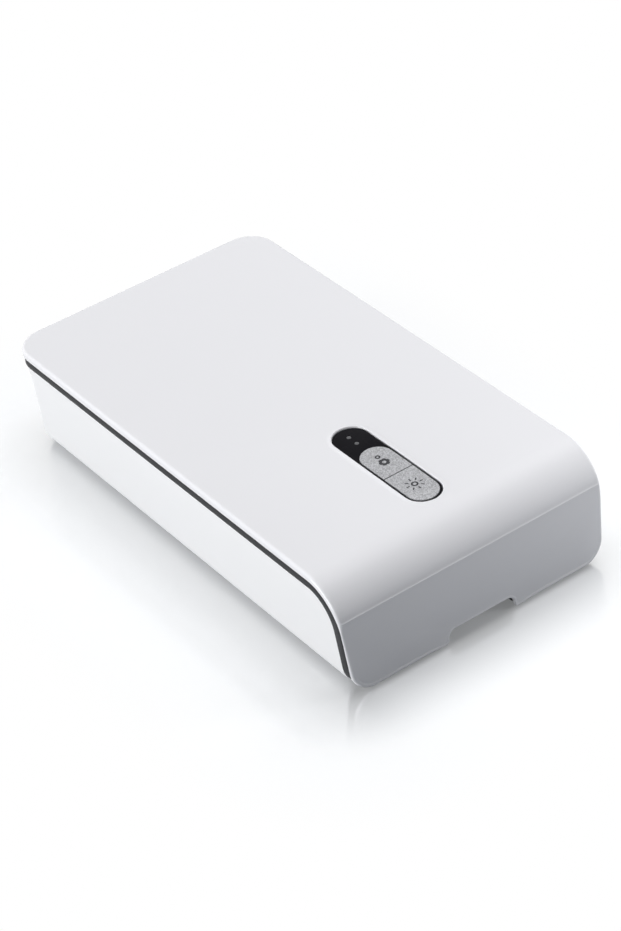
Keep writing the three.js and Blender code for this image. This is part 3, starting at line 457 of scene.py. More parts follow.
# A plate with rounded edges between two depths, with holes through it
def addPlate(shape, outline, place, thickness, edge=0.2, holes=(), steps=3):
    rounded = roundOff(edge, steps) + roundUnder(edge, steps, thickness)
    first, last = addWall(shape, tidyLoop(outline), rounded, place)
    tops, unders = [first], [last]
    for hole in holes:
        addHole(shape, tidyLoop(hole), rounded, tops, unders, place)
    fillCaps(shape, tops, unders)


def addTurned(shape, profile, place, steps=32):
    rings = []
    for radius, height in profile:
        loop = circleLoop(0, 0, radius, steps) if radius else [(0, 0)]
        rings.append(addRing(shape, loop, height, place))
    stitch(shape, rings)


def shadeMesh(mesh, sharpAngle=32, recalculate=True):
    work = bmesh.new()
    work.from_mesh(mesh)
    bmesh.ops.remove_doubles(work, verts=work.verts, dist=weldDistance)
    if recalculate:
        bmesh.ops.recalc_face_normals(work, faces=work.faces)
    for face in work.faces:
        face.smooth = True
    for edge in work.edges:
        edge.smooth = edge.is_manifold and edge.calc_face_angle(0) < math.radians(sharpAngle)
    work.to_mesh(mesh)
    work.free()
    mesh.update()


def meshOf(name, shape, sharpAngle=32):
    mesh = bpy.data.meshes.new(name)
    mesh.from_pydata([Vector(p) * mm for p in shape["points"]], [], shape["faces"])
    mesh.validate()
    shadeMesh(mesh, sharpAngle)
    return mesh


def turnedMesh(name, profile, place, steps=32):
    shape = newShape()
    addTurned(shape, profile, place, steps)
    return meshOf(name, shape)


def plateMesh(name, *plate):
    shape = newShape()
    addPlate(shape, *plate)
    return meshOf(name, shape)


def pointsMesh(name, places):
    mesh = bpy.data.meshes.new(name)
    mesh.from_pydata([Vector(p) * mm for p in places], [], [])
    return mesh


def linkObject(name, mesh):
    thing = bpy.data.objects.new(name, mesh)
    scene.collection.objects.link(thing)
    return thing


def applied(thing):
    return bpy.data.meshes.new_from_object(thing.evaluated_get(bpy.context.evaluated_depsgraph_get()))


def combined(operation, mesh, other):
    target, tool = linkObject("target", mesh), linkObject("tool", other)
    modifier = target.modifiers.new("combine", "BOOLEAN")
    modifier.operation, modifier.solver, modifier.object = operation, "EXACT", tool
    result = applied(target)
    for thing in (target, tool):
        bpy.data.objects.remove(thing)
    shadeMesh(result)
    return result


def joinMeshes(name, meshes):
    work = bmesh.new()
    for mesh in meshes:
        work.from_mesh(mesh)
    whole = bpy.data.meshes.new(name)
    work.to_mesh(whole)
    work.free()
    return whole


def addPiece(name, mesh, finish, body, replaced=()):
    mesh.name = name
    mesh.materials.clear()
    mesh.materials.append(finishes[finish])
    piece = linkObject(name, mesh)
    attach(piece, body)
    if replaced:
        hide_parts(*replaced)


# ---- geometry nodes: trees that set out a part that repeats
def newTree(name, inputs):
    tree = bpy.data.node_groups.new(name, "GeometryNodeTree")
    tree.interface.new_socket("Geometry", in_out="OUTPUT", socket_type="NodeSocketGeometry")
    for title, kind in inputs.items():
        tree.interface.new_socket(title, in_out="INPUT", socket_type="NodeSocket" + kind)
    return tree, addNode(tree, "NodeGroupInput").outputs


def endTree(tree, geometry, finish):
    real = addNode(tree, "GeometryNodeRealizeInstances", {"Geometry": geometry})
    done = addNode(tree, "GeometryNodeSetMaterial", {
        "Geometry": real.outputs["Geometry"], "Material": finishes[finish],
    })
    addNode(tree, "NodeGroupOutput", {"Geometry": done.outputs["Geometry"]})


def runTree(tree, mesh, values):
    holder = linkObject("treeHolder", mesh)
    modifier = holder.modifiers.new("tree", "NODES")
    modifier.node_group = tree
    for item in tree.interface.items_tree:
        if item.in_out == "INPUT" and item.name in values:
            modifier[item.identifier] = values[item.name]
    result = applied(holder)
    bpy.data.objects.remove(holder)
    return result


# One part on every point of a mesh, each turned about its own upright axis
def setterTree(name, finish):
    tree, given = newTree(name, {
        "Geometry": "Geometry", "Part": "Object", "Size": "Float", "Turn": "Float", "Seed": "Int",
    })
    part = addNode(tree, "GeometryNodeObjectInfo", {"Object": given["Part"], "As Instance": True})
    largest, drawn = 3, 1  # the sockets of the random node that hold single numbers
    spin = addNode(tree, "FunctionNodeRandomValue", {
        largest: given["Turn"], "Seed": given["Seed"],
    }, data_type="FLOAT")
    angles = addNode(tree, "ShaderNodeCombineXYZ", {"Z": spin.outputs[drawn]})
    size = addNode(tree, "ShaderNodeCombineXYZ", {axis: given["Size"] for axis in "XYZ"})
    placed = addNode(tree, "GeometryNodeInstanceOnPoints", {
        "Points": given["Geometry"], "Instance": part.outputs["Geometry"],
        "Rotation": angles.outputs["Vector"], "Scale": size.outputs["Vector"],
    })
    endTree(tree, placed.outputs["Instances"], finish)
    return tree


def setOnPoints(name, places, master, finish, turn=0.0, seed=1):
    part = linkObject(name + "Master", master)
    result = runTree(setterTree(name + "Tree", finish), pointsMesh(name, places), {
        "Part": part, "Size": 1.0, "Turn": turn, "Seed": seed,
    })
    bpy.data.objects.remove(part)
    shadeMesh(result, recalculate=False)
    return result


# ---- the bent sheet of the lid, unrolled: u across, s from the rear edge over the top and down
lidSheet = {
    "length": 220, "width": 120, "height": 46, "bendRadius": 19.5, "bendTurn": math.radians(87),
    "lowEdge": 0.9, "edge": 1.3, "rearCorner": 12.5, "frontCorner": 9, "bendSteps": 58, "pastBend": 0.6,
    "sideDraft": 2.7, "draftFrom": 8, "sideStops": (40, 75, 110, 145, 180),
}
notch = {
    "half": 15.9, "depth": 5.2, "flare": 1.6, "corner": 3.4, "edge": 0.6, "fadeFrom": 27,
    "stops": (44, 36, 31, 27, 24.5, 22, 20, 18.4), "topStop": 6,
}
crease = {
    "angle": math.radians(69.5), "sink": 0.2, "half": 0.22, "reach": 3.6, "clear": 0.12,
    "stops": (-2.7, -1.9, -1.2, -0.6, 0.6),
}

halfLength, halfWidth, lidTop = lidSheet["length"] / 2, lidSheet["width"] / 2, lidSheet["height"]
bendRadius, bendTurn = lidSheet["bendRadius"], lidSheet["bendTurn"]
faceLength = (lidTop - bendRadius * (1 - math.cos(bendTurn)) - lidSheet["lowEdge"]) / math.sin(bendTurn)
straightFace = faceLength - notch["edge"]  # the foremost point is where the notch's edge starts to round
bendStart = -halfLength + bendRadius * math.sin(bendTurn) + straightFace * math.cos(bendTurn)
flatLength = halfLength - bendStart
bendEnd = flatLength + bendRadius * bendTurn
sheetLength = bendEnd + faceLength
draftStart = flatLength + lidSheet["draftFrom"]
creaseAt = flatLength + bendRadius * crease["angle"]


# Past the start of the bend the sides draw in, more and more towards the low edge
def sheetPoint(u, s, depth):
    drawn = max(s - draftStart, 0) / (sheetLength - draftStart)
    turned = min(max((s - flatLength) / bendRadius, 0), bendTurn)
    past = max(s - bendEnd, 0)
    radius = bendRadius - depth
    return (
        u * (1 - lidSheet["sideDraft"] / halfWidth * drawn ** 2),
        halfLength - min(s, flatLength) - radius * math.sin(turned) - past * math.cos(turned),
        lidTop - bendRadius + radius * math.cos(turned) - past * math.sin(turned),
    )


# The hairline where the front panel starts: the sheet sinks towards it and comes back as a ledge
def creaseSink(s):
    sink, half, reach = take(crease, "sink half reach")
    off = s - creaseAt
    if off <= -half:
        return sink * max((reach + off) / (reach - half), 0) ** 2
    return sink * max((half - off) / (2 * half), 0)


# Below the crease the front is a flat panel, which lies a little inside the bend
def panelSink(s):
    if s <= creaseAt:
        return 0
    (_, topY, topZ), (_, lowY, lowZ), (_, y, z) = (sheetPoint(0, at, 0) for at in (creaseAt, sheetLength, s))
    alongY, alongZ = lowY - topY, lowZ - topZ
    return max(((y - topY) * alongZ - (z - topZ) * alongY) / math.hypot(alongY, alongZ), 0)


def coverPoint(u, s, depth):
    sink = creaseSink(s) + panelSink(s)
    return sheetPoint(u, s, depth + sink * clamped(1 - depth / lidSheet["edge"]))


def bendStops():
    steps, half, reach = lidSheet["bendSteps"], crease["half"], crease["reach"]
    stops = [flatLength + (bendEnd - flatLength) * k / steps for k in range(steps + 1)]
    near = [creaseAt + off for off in (-reach, -half, half, *crease["stops"])]
    stops = [s for s in stops if all(abs(s - n) > crease["clear"] for n in near)] + near
    return sorted(stops + [bendEnd + lidSheet["pastBend"]])


def sheetOutline():
    rear, front = take(lidSheet, "rearCorner frontCorner")
    half, flare, corner = take(notch, "half flare corner")
    end, top = sheetLength, sheetLength - notch["depth"]
    right = arcPoints(halfWidth - rear, rear, rear, -90, 0, 12)
    right += [(halfWidth, s) for s in lidSheet["sideStops"]]
    firstStop = len(right)
    right += [(halfWidth, s) for s in bendStops()]
    right += arcPoints(halfWidth - front, end - front, front, 0, 90, 12)
    right += [(u, end) for u in notch["stops"]]
    right += arcPoints(half + flare, end - flare, flare, 90, 180, 6)
    right += arcPoints(half - corner, top + corner, corner, 0, -90, 8)[1:]
    right += [(notch["topStop"], top)]
    right = [(-u, s) for u, s in right]  # the loop keeps its inside on the left
    loop = right + [(-u, s) for u, s in reversed(right)]
    stops = range(firstStop, firstStop + len(bendStops()))
    return loop[::-1], [(len(loop) - 1 - k, k) for k in stops]


outline, stopPairs = sheetOutline()
nearNotch = []
for u, s in outline:
    share = clamped((notch["fadeFrom"] - abs(u)) / (notch["fadeFrom"] - notch["half"] - notch["flare"]))
    share *= s > sheetLength - notch["depth"] - 1
    nearNotch.append(share * share * (3 - 2 * share))

# How far down the front each point of the outline lies, from the start of the bend to its end
frontShare = [clamped((s - flatLength) / (bendEnd - flatLength)) for _, s in outline]


def between(usual, other, shares):
    return [usual + (other - usual) * share for share in shares]


def crossLines(ring):
    return [(ring[a], ring[b]) for a, b in stopPairs]


def stadium(half, front, rear, steps=14):
    loop = arcPoints(0, halfLength - rear + half, half, 180, 360, steps)
    return loop + arcPoints(0, halfLength - front - half, half, 0, 180, steps)


pillSlot = {"half": 7.5, "front": -86.9, "rear": -29.2}
lidCoverSizes = {
    "rim": 2.7, "rimAtFront": 1.6, "rimWidth": 2.5, "rimAtNotch": 1.35, "rebate": 0.4, "wall": 2,
    "edgeSteps": 7, "rimRound": ((0, 0.2), (0.06, 0.06), (0.2, 0)), "rimInner": 0.15,
    "groove": 0.13, "grooveLevels": ((1.0, 0), (0.68, 1), (0.3, 0)), "grooveFrom": 9, "grooveFade": 4,
    "lip": 0.34, "lipReach": 2.1, "lipShares": (0.85, 0.7, 0.55, 0.4, 0.3, 0.22), "lipSlack": 0.94,
    "lipRound": ((0.22, -0.82), (0.07, -0.42)), "lipInner": 0.1,
    "bossRadius": 2.8, "bossHole": 1.4, "bossLow": 42.3, "bossEdge": 0.3, "bossSunk": 0.4,
}
screwPlaces = [(x, y) for y in (-66, 13, 92) for x in (-50, 50)]


def buildLidCover(sizes):
    shape = newShape()
    radii = between(lidSheet["edge"], notch["edge"], nearNotch)
    rims = between(sizes["rimWidth"], sizes["rimAtNotch"], nearNotch)
    rims = [width + sizes["rebate"] * share for width, share in zip(rims, frontShare)]
    lows = [clamped((s - sheetLength + sizes["grooveFrom"]) / sizes["grooveFade"]) for _, s in outline]
    levels = []
    for off, share in sizes["grooveLevels"]:  # a hairline groove along the low edge
        levels.append([(r + off, sizes["groove"] * share * low) for r, low in zip(radii, lows)])
    for turn in quarter(sizes["edgeSteps"]):
        levels.append([(r * (1 - math.sin(turn)), r * (1 - math.cos(turn))) for r in radii])
    wall, ease = take(sizes, "wall rimInner")
    depths = between(sizes["rim"], sizes["rimAtFront"], frontShare)
    levels += [[(inset, depth - up) for depth in depths] for inset, up in sizes["rimRound"]]
    levels.append([(w - ease, depth) for w, depth in zip(rims, depths)])
    levels.append([(w, min(depth - ease, wall)) for w, depth in zip(rims, depths)])
    top, under = addWall(shape, outline, levels + [[(w, wall) for w in rims]], coverPoint)
    lip, reach = take(sizes, "lip lipReach")
    lipLevels = [(reach, 0)]
    for share in sizes["lipShares"]:
        rise = (1 - math.cos(math.pi * (1 - share))) / 2 / sizes["lipSlack"]
        lipLevels.append((reach * share, -lip * rise))
    lipLevels += [(inset, lip * up) for inset, up in sizes["lipRound"]] + [(0, sizes["lipInner"]), (0, wall)]
    tops, unders = [top], [under]
    slot = tidyLoop(stadium(*take(pillSlot, "half front rear")))
    addHole(shape, slot, lipLevels, tops, unders, sheetPoint)
    fillCap(shape, tops, coverPoint, 0, crossLines(top))
    fillCap(shape, unders, sheetPoint, wall, crossLines(under))
    radius, hole, low, edge = take(sizes, "bossRadius bossHole bossLow bossEdge")
    high = lidTop - wall + sizes["bossSunk"]
    profile = [(hole, high), (radius, high), (radius, low + edge), (radius - edge, low), (hole, low)]
    for x, y in screwPlaces:
        addTurned(shape, profile + profile[:1], shifted(x, y), 24)
    return meshOf("lidCover", shape)


lidCover = buildLidCover(lidCoverSizes)
addPiece("lid_cover_moulding", lidCover, "lidGlossWhite", "lid", ["lid_cover"])
print("lid cover done")

# ---- hinge: where the knuckles lie along x, on each side
hinge = {
    "y": 106.8, "z": 39.2, "radius": 2.6, "pinHole": 1.4, "gap": 0.3, "edge": 0.25, "steps": 40,
    "lid": [(28.5, 35.5)], "base": [(22.2, 28.2), (35.8, 41.8)],
    "pinRadius": 1.1, "pinEdge": 0.2, "pin": [(22.5, 41.5)],
}


def ringsMesh(name, rings):
    shape = newShape()
    count = len(rings[0])
    shape["points"] = [point for ring in rings for point in ring]
    first, last = stitch(shape, [range(k * count, (k + 1) * count) for k in range(len(rings))])
    shape["faces"] += [tuple(first), tuple(last)]
    return meshOf(name, shape)


def rodAcross(radius, low, high, edge=0):
    y, z, steps = take(hinge, "y z steps")
    profile = [(radius, low + edge), (radius, high - edge)]
    if edge:
        profile = [(radius - edge, low), *profile, (radius - edge, high)]
    turns = [2 * math.pi * k / steps for k in range(steps)]
    rings = [[(x, y + r * math.cos(a), z + r * math.sin(a)) for a in turns] for r, x in profile]
    return ringsMesh("rod", rings)


# A knuckle: a short tube along x
def knuckle(low, high):
    outer, inner, edge = take(hinge, "radius pinHole edge")
    profile = [
        (outer - edge, low), (outer, low + edge), (outer, high - edge), (outer - edge, high),
        (inner + edge / 2, high), (inner, high - edge / 2), (inner, low + edge / 2), (inner + edge / 2, low),
    ]
    return turnedMesh("knuckle", profile + profile[:1], alongX(0, hinge["y"], hinge["z"]), hinge["steps"])


def bothSides(spans):
    return [side for low, high in spans for side in ((low, high), (-high, -low))]


# Room for the knuckles of the other half
def reliefs(spans):
    gap = hinge["gap"]
    return [rodAcross(hinge["radius"] + gap, low - gap, high + gap) for low, high in bothSides(spans)]


# ---- lid frame: the dark pan inside the lid, whose edge shows as a band below the rim
lidFrameSizes = {
    "inset": 0.5, "rimWidth": 2, "top": 3, "topAtFront": 1.85, "panel": 5.2, "under": 6.7, "atNotch": 1.45,
    "window": (14.79, 37.19, 30.5, 174.5), "windowCorner": 2, "ease": 0.1,
    "webEase": 0.02, "webUp": 1.0, "webThick": 1.6, "webPlay": 0.07, "webInner": 0.05,
    "screwHole": 1.4, "screwSink": 0.9, "cupFloor": 5.5,
    "screwSeat": [(3.2, 5.2), (2.95, 5.12), (2.8, 4.9), (2.8, 4.15), (2.65, 4), (0.1, 4), (0, 4.1)],
    "cupWall": [(1.5, 5.2), (1.25, 5.12), (1.2, 4.9), (1.2, 3.5), (1.1, 3.4), (0.1, 3.4), (0, 3.5)],
}
magnetCup = {"x": 50, "y": -79, "radius": 3.3}


def buildLidFrame(sizes):
    shape = newShape()
    inset, panel, under, ease = take(sizes, "inset panel under ease")
    inner = between(inset + sizes["rimWidth"], sizes["atNotch"], nearNotch)
    tops = between(sizes["top"], sizes["topAtFront"], frontShare)
    underRound = [(0, under - 0.3), (0.09, under - 0.09), (0.3, under)]
    levels = [
        [(w + ease, panel) for w in inner], [(w, panel - ease) for w in inner],
        [(w, top + ease) for w, top in zip(inner, tops)], [(w - ease, top) for w, top in zip(inner, tops)],
        *([(inset + off, top + drop) for top in tops] for off, drop in ((0.25, 0), (0.08, 0.05), (0, 0.2))),
        *((inset + off, depth) for off, depth in underRound),
    ]
    topRing, underRing = addWall(shape, outline, levels, sheetPoint)
    panels, unders = [topRing], [underRing]
    left, right, low, high = sizes["window"]
    windowRound = [(0.15, panel), (0.04, panel + 0.04), (0, panel + 0.15)] + underRound
    for start, end in ((-right, -left), (left, right)):
        window = tidyLoop(roundedLoop(start, end, low, high, sizes["windowCorner"]))
        addHole(shape, window, windowRound, panels, unders, sheetPoint)
    sink = sizes["screwSink"]
    screwLevels = sizes["screwSeat"] + [(0, panel), (sink, panel), (sink, under - 0.2), (sink + 0.2, under)]
    for x, y in screwPlaces:
        hole = circleLoop(x, halfLength - y, sizes["screwHole"])
        addHole(shape, hole, screwLevels, panels, unders, sheetPoint)
    for side in (-1, 1):
        cup = circleLoop(side * magnetCup["x"], halfLength - magnetCup["y"], magnetCup["radius"])
        addHole(shape, cup, sizes["cupWall"] + [(0, sizes["cupFloor"])], panels, None, sheetPoint)
    fillCap(shape, panels, sheetPoint, panel, crossLines(topRing))
    fillCap(shape, unders, sheetPoint, under, crossLines(underRing))
    mesh = combined("DIFFERENCE", meshOf("lidFrame", shape), joinMeshes("reliefs", reliefs(hinge["base"])))
    islands = [mesh]
    middle, radius, pinHole, gap = hinge["y"], hinge["radius"], hinge["pinHole"], sizes["webEase"]
    across = radius - pinHole - sizes["webPlay"]
    for low, high in bothSides(hinge["lid"]):
        islands.append(knuckle(low, high))
        for y in (middle - radius + gap, middle + pinHole + sizes["webInner"]):
            web = roundedLoop(low + gap, high - gap, y, y + across, 0.2, 2)
            place = shifted(z=hinge["z"] + sizes["webUp"])
            islands.append(plateMesh("web", web, place, sizes["webThick"], ease))
    return joinMeshes("lidFrame", islands)


addPiece("lid_frame_moulding", buildLidFrame(lidFrameSizes), "bandDarkGrey", "lid", ["lid_frame"])
print("lid frame done")


# ---- base shell: a tub drawn in towards the bottom, its front bent like the lid
shellSizes = {
    "top": 38.9, "low": 1, "floor": 3, "half": 59, "rear": 106.8, "sideDraft": 2.3, "rearDraft": 1.5,
    "corner": 10, "wall": 2.2, "rounding": 6.5, "innerRounding": 5, "frontRounding": 3.5, "innerFront": 2.4,
    "depth": 7.1, "mouth": -86, "mouthLow": 36.75, "rim": 0.35, "rimEase": 0.1,
    "frontCorner": 0.8, "cornerGrowth": 1.6, "faceFrom": 4.5, "faceRings": (9, 15, 21),
    "basePost": [(0, 2), (3.3, 2), (3.3, 3), (3.08, 3.2), (3, 3.5), (3, 7.6), (2.9, 7.7), (0, 7.7)],
    "baseHole": [
        (0, 0.7), (2.75, 0.7), (2.3, 1.15), (2.3, 3.5), (1.4, 3.5), (1.4, 7.55), (1.65, 7.8), (0, 7.8),
    ],
    "boardPost": [(0, 2), (2.8, 2), (2.8, 3), (2.56, 3.2), (2.5, 3.5), (2.5, 4.6), (2.4, 4.7), (0, 4.7)],
    "boardHole": [(0, 3.05), (1.2, 3.05), (1.2, 4.55), (1.45, 4.8), (0, 4.8)],
    "footRadius": 6.3, "footWall": [(0.15, 1), (0, 1.15), (0, 2.2)],
    "slot": (-4.8, 4.8, 6.05, 10.05, 1.55, 8), "slotReach": (100.9, 112),
}
footPlaces = [(x, y) for y in (-84, 80) for x in (-38, 38)]
basePostPlaces = [(x, y) for y in (-52, 66) for x in (-48, 48)]
boardPostPlaces = [(x, y) for y in (39, 97) for x in (-34, 34)]


def shellPlan(sizes, z, inset, frontY, frontCorner):
    share = (sizes["top"] - z) / (sizes["top"] - sizes["low"])
    half = sizes["half"] - sizes["sideDraft"] * share - inset
    rear = sizes["rear"] - sizes["rearDraft"] * share - inset
    corner = sizes["corner"] - sizes["sideDraft"] * share - inset
    loop = arcPoints(half - corner, rear - corner, corner, 0, 90, 12)
    loop += [(-x, y) for x, y in reversed(loop)]
    front = arcPoints(-half + frontCorner, frontY + frontCorner, frontCorner, 180, 270, 5)
    return loop + front + [(-x, y) for x, y in reversed(front)]


def shellFront(depth, angle):
    radius = bendRadius - depth
    return bendStart - radius * math.sin(angle), lidTop - bendRadius + radius * math.cos(angle)


def buildBaseShell(sizes):
    shape, rings = newShape(), []
    top, low, floor, wall, depth, corner = take(sizes, "top low floor wall depth frontCorner")
    rounding, frontRounding, inner = take(sizes, "rounding frontRounding innerRounding")
    rim, ease, mouth = take(sizes, "rim rimEase mouth")

    def ring(z, inset, frontY, front=corner):
        rings.append(addRing(shape, shellPlan(sizes, z, inset, frontY, front), z))

    # The straight part of the front, between its foot and the bend
    def faceY(z, depth):
        foot, start = sheetPoint(0, sheetLength, depth)[1], sizes["faceFrom"]
        bendY, bendZ = shellFront(depth, bendTurn)
        return foot + (bendY - foot) * clamped((z - start) / (bendZ - start))

    for inset, up in roundOff(rounding, 8):
        left = 1 - min(up / frontRounding, 1)
        frontY = faceY(low + up, depth) + frontRounding * (1 - math.sqrt(1 - left ** 2))
        ring(low + up, inset, frontY, corner + sizes["cornerGrowth"] * left)
    for z in sizes["faceRings"]:
        ring(z, 0, faceY(z, depth))
    for k in range(25):
        y, z = shellFront(depth, bendTurn * (1 - k / 24))
        over = max(z - (top - rim), 0)
        ring(z, rim - math.sqrt(max(rim * rim - over * over, 0)), y)
    for z, inset in ((top, rim), (top - ease, ease), (top - rim, 0), (sizes["mouthLow"], 0)):
        ring(z, wall - inset, mouth - inset)
    for k in range(11):
        y, z = shellFront(depth + wall, bendTurn * k / 10)
        ring(z, wall, y)
    for inset, up in reversed(roundOff(inner, 5)):
        frontY = faceY(floor + up, depth + wall) + sizes["innerFront"] * inset / inner
        ring(floor + up, wall + inset, frontY)
    under, inside = stitch(shape, rings)
    unders = [under]
    for x, y in footPlaces:
        addHole(shape, circleLoop(x, y, sizes["footRadius"], 40), sizes["footWall"], unders)
    fillCaps(shape, unders, [inside])
    posts, cutters = [], []
    for places, kind in ((basePostPlaces, "base"), (boardPostPlaces, "board")):
        for x, y in places:
            posts.append(turnedMesh("post", sizes[kind + "Post"], shifted(x, y), 40))
            cutters.append(turnedMesh("hole", sizes[kind + "Hole"], shifted(x, y), 28))
    mesh = combined("UNION", meshOf("baseShell", shape), joinMeshes("posts", posts))
    slot = roundedLoop(*sizes["slot"])
    cutters += reliefs(hinge["lid"])
    cutters.append(ringsMesh("slot", [[(x, y, z) for x, z in slot] for y in sizes["slotReach"]]))
    mesh = combined("DIFFERENCE", mesh, joinMeshes("cutters", cutters))
    return joinMeshes("baseShell", [mesh] + [knuckle(low, high) for low, high in bothSides(hinge["base"])])


baseShell = buildBaseShell(shellSizes)
addPiece("base_shell_moulding", baseShell, "tubSatinWhite", "base", ["base_shell"])
print("base shell done")


# ---- control pill: bezel, keys and their signs
pillLook = {
    "half": 7.2, "front": -86.6, "rear": -29.5, "top": 45.65, "edge": 0.3, "flange": 9.8, "ease": 0.1,
    "floorTop": 43.5, "floorUnder": 43, "flangeTop": 43.7, "step": 0.2,
    "keyPlay": 0.2, "stemPlay": 0.3, "lensHole": 1.0,
}
keyLook = {
    "half": 6.6, "front": -85.6, "rear": -45.9, "split": -65.19, "gap": 0.2, "under": 44.4, "top": 46.1,
    "edge": 0.38, "splitEdge": 0.14, "ease": 0.15, "stem": 1.3, "stemLow": 43.4, "stemTip": 0.1,
    "centres": {"rear": -55.55, "front": -75.4},
}
lensSizes = {
    "rows": {"rear": -35.0, "front": -39.9}, "radius": 0.9, "low": 42.45, "top": 45.65, "ease": 0.1,
    "crown": ((0, 0.12), (0.04, 0.05), (0.12, 0.01)),
}


def planStadium(half, front, rear, steps):
    loop = arcPoints(0, rear - half, half, 0, 180, steps)
    return loop + arcPoints(0, front + half, half, 180, 360, steps)


def buildBezel(sizes, keys):
    shape = newShape()
    half, top, ease, step, play = take(sizes, "half top ease step keyPlay")
    floor, under, flangeTop, flange = *take(sizes, "floorTop floorUnder flangeTop"), half - sizes["flange"]
    levels = [(flange + ease, under), (flange, under + ease), (flange, flangeTop - ease)]
    levels += [(flange + ease, flangeTop), (-step, flangeTop), (0, flangeTop + step)]
    outer = tidyLoop(planStadium(half, sizes["front"], sizes["rear"], 24))
    low, crown = addWall(shape, outer, levels + roundUnder(sizes["edge"], 5, top))
    tops, floors, unders = [crown], [], [low]
    room = tidyLoop(planStadium(keys["half"] + play, keys["front"] - play, keys["rear"] + play, 24))
    addHole(shape, room, [(0.12, top), (0.03, top - 0.03), (0, top - 0.12), (0, floor)], tops, floors)
    for y in keys["centres"].values():
        stem = circleLoop(0, y, keys["stem"] + sizes["stemPlay"], 32)
        addHole(shape, stem, [(ease, floor), (0, floor - ease), (0, under)], floors, unders)
    for y in lensSizes["rows"].values():
        lens = circleLoop(0, y, sizes["lensHole"], 32)
        addHole(shape, lens, [(ease, top), (0, top - ease), (0, under)], tops, unders)
    fillCap(shape, tops, upright, top)
    fillCaps(shape, floors, unders)
    return meshOf("controlBezel", shape)


def buildKey(which, sizes):
    way, start = (1, 0) if which == "rear" else (-1, 180)
    half, under, top, ease, stemLow = take(sizes, "half under top ease stemLow")
    flatEnd = sizes["split"] + way * sizes["gap"]
    loop = arcPoints(0, sizes[which] - way * half, half, start, start + 180, 32)
    loop += [(-way * half, flatEnd), (way * half, flatEnd)]
    edges = [sizes["splitEdge"] if abs(y - flatEnd) < 0.01 else sizes["edge"] for _, y in loop]
    shape = newShape()
    levels = [(ease, under), (0, under + ease)]
    for turn in reversed(quarter(6)):
        levels.append([(e * (1 - math.sin(turn)), top - e * (1 - math.cos(turn))) for e in edges])
    low, high = addWall(shape, loop, levels)
    lows, tips = [low], []
    stem = circleLoop(0, sizes["centres"][which], sizes["stem"], 32)
    tip = sizes["stemTip"]
    addHole(shape, stem, [(ease, under), (0, under - ease), (0, stemLow + tip), (-tip, stemLow)], lows, tips)
    fillCaps(shape, lows, tips, [high])
    return meshOf(which + "Key", shape)


bezel = buildBezel(pillLook, keyLook)
addPiece("control_bezel_moulding", bezel, "pillBlack", "lid", ["control_bezel"])
for which in ("rear", "front"):
    key = buildKey(which, keyLook)
    addPiece(which + "_key_cap", key, "keySilverPaint", which + "_button", [which + "_key"])
print("pill and keys done")

# ---- signs: thin inlays on the keys, and the two indicator lenses
signSizes = {
    "sunk": 0.3, "proud": 0.012, "edge": 0.01, "smallRing": (-52.7, 1.12, 0.42),
    "flower": (-56.75, 1.8, 0.42, 0.78), "flowerTurns": 3, "flowerCurve": 0.7, "flowerSteps": 96,
    "sun": (-74.9, 1.42, 0.72), "rays": (8, 2.25, 3.7, 0.27), "rayCorner": 0.95,
}


def inlay(shape, outer, holes=()):
    sunk, proud, edge = take(signSizes, "sunk proud edge")
    addPlate(shape, outer, downFrom(keyLook["top"] + proud), sunk, edge, holes, 1)


def inlayRing(shape, y, outer, inner):
    inlay(shape, circleLoop(0, y, outer), [circleLoop(0, y, inner)])


def turnedAbout(y, u, v, turn):
    return u * math.cos(turn) - v * math.sin(turn), y + u * math.sin(turn) + v * math.cos(turn)


def buildRearSign(sizes):
    shape = newShape()
    inlayRing(shape, *sizes["smallRing"])
    y, radius, lobe, hole = sizes["flower"]
    petals, steps = [], sizes["flowerSteps"]
    for k in range(steps):
        turn = 2 * math.pi * k / steps
        reach = radius + lobe * abs(math.cos(sizes["flowerTurns"] * turn)) ** sizes["flowerCurve"]
        petals.append(turnedAbout(y, reach, 0, turn))
    inlay(shape, petals, [circleLoop(0, y, hole)])
    return meshOf("rearSign", shape)


def buildFrontSign(sizes):
    shape = newShape()
    inlayRing(shape, *sizes["sun"])
    count, start, stop, half = sizes["rays"]
    ray = roundedLoop(start, stop, -half, half, half * sizes["rayCorner"], 4)
    for k in range(count):
        inlay(shape, [turnedAbout(sizes["sun"][0], u, v, math.pi * 2 * k / count) for u, v in ray])
    return meshOf("frontSign", shape)


def buildLens(sizes, y):
    radius, low, top, ease = take(sizes, "radius low top ease")
    profile = [(0, low), (radius - ease, low), (radius, low + ease)]
    profile += [(radius - inset, top - drop) for inset, drop in sizes["crown"]]
    return turnedMesh("indicator", profile + [(radius * 0.5, top), (0, top)], shifted(y=y))


addPiece("rear_key_sign", buildRearSign(signSizes), "signInk", "rear_button")
addPiece("front_key_sign", buildFrontSign(signSizes), "signInk", "front_button")
for which, y in lensSizes["rows"].items():
    name = "indicator_" + which
    addPiece(name + "_lens", buildLens(lensSizes, y), "smokedLens", "lid", [name])
print("signs and lenses done")

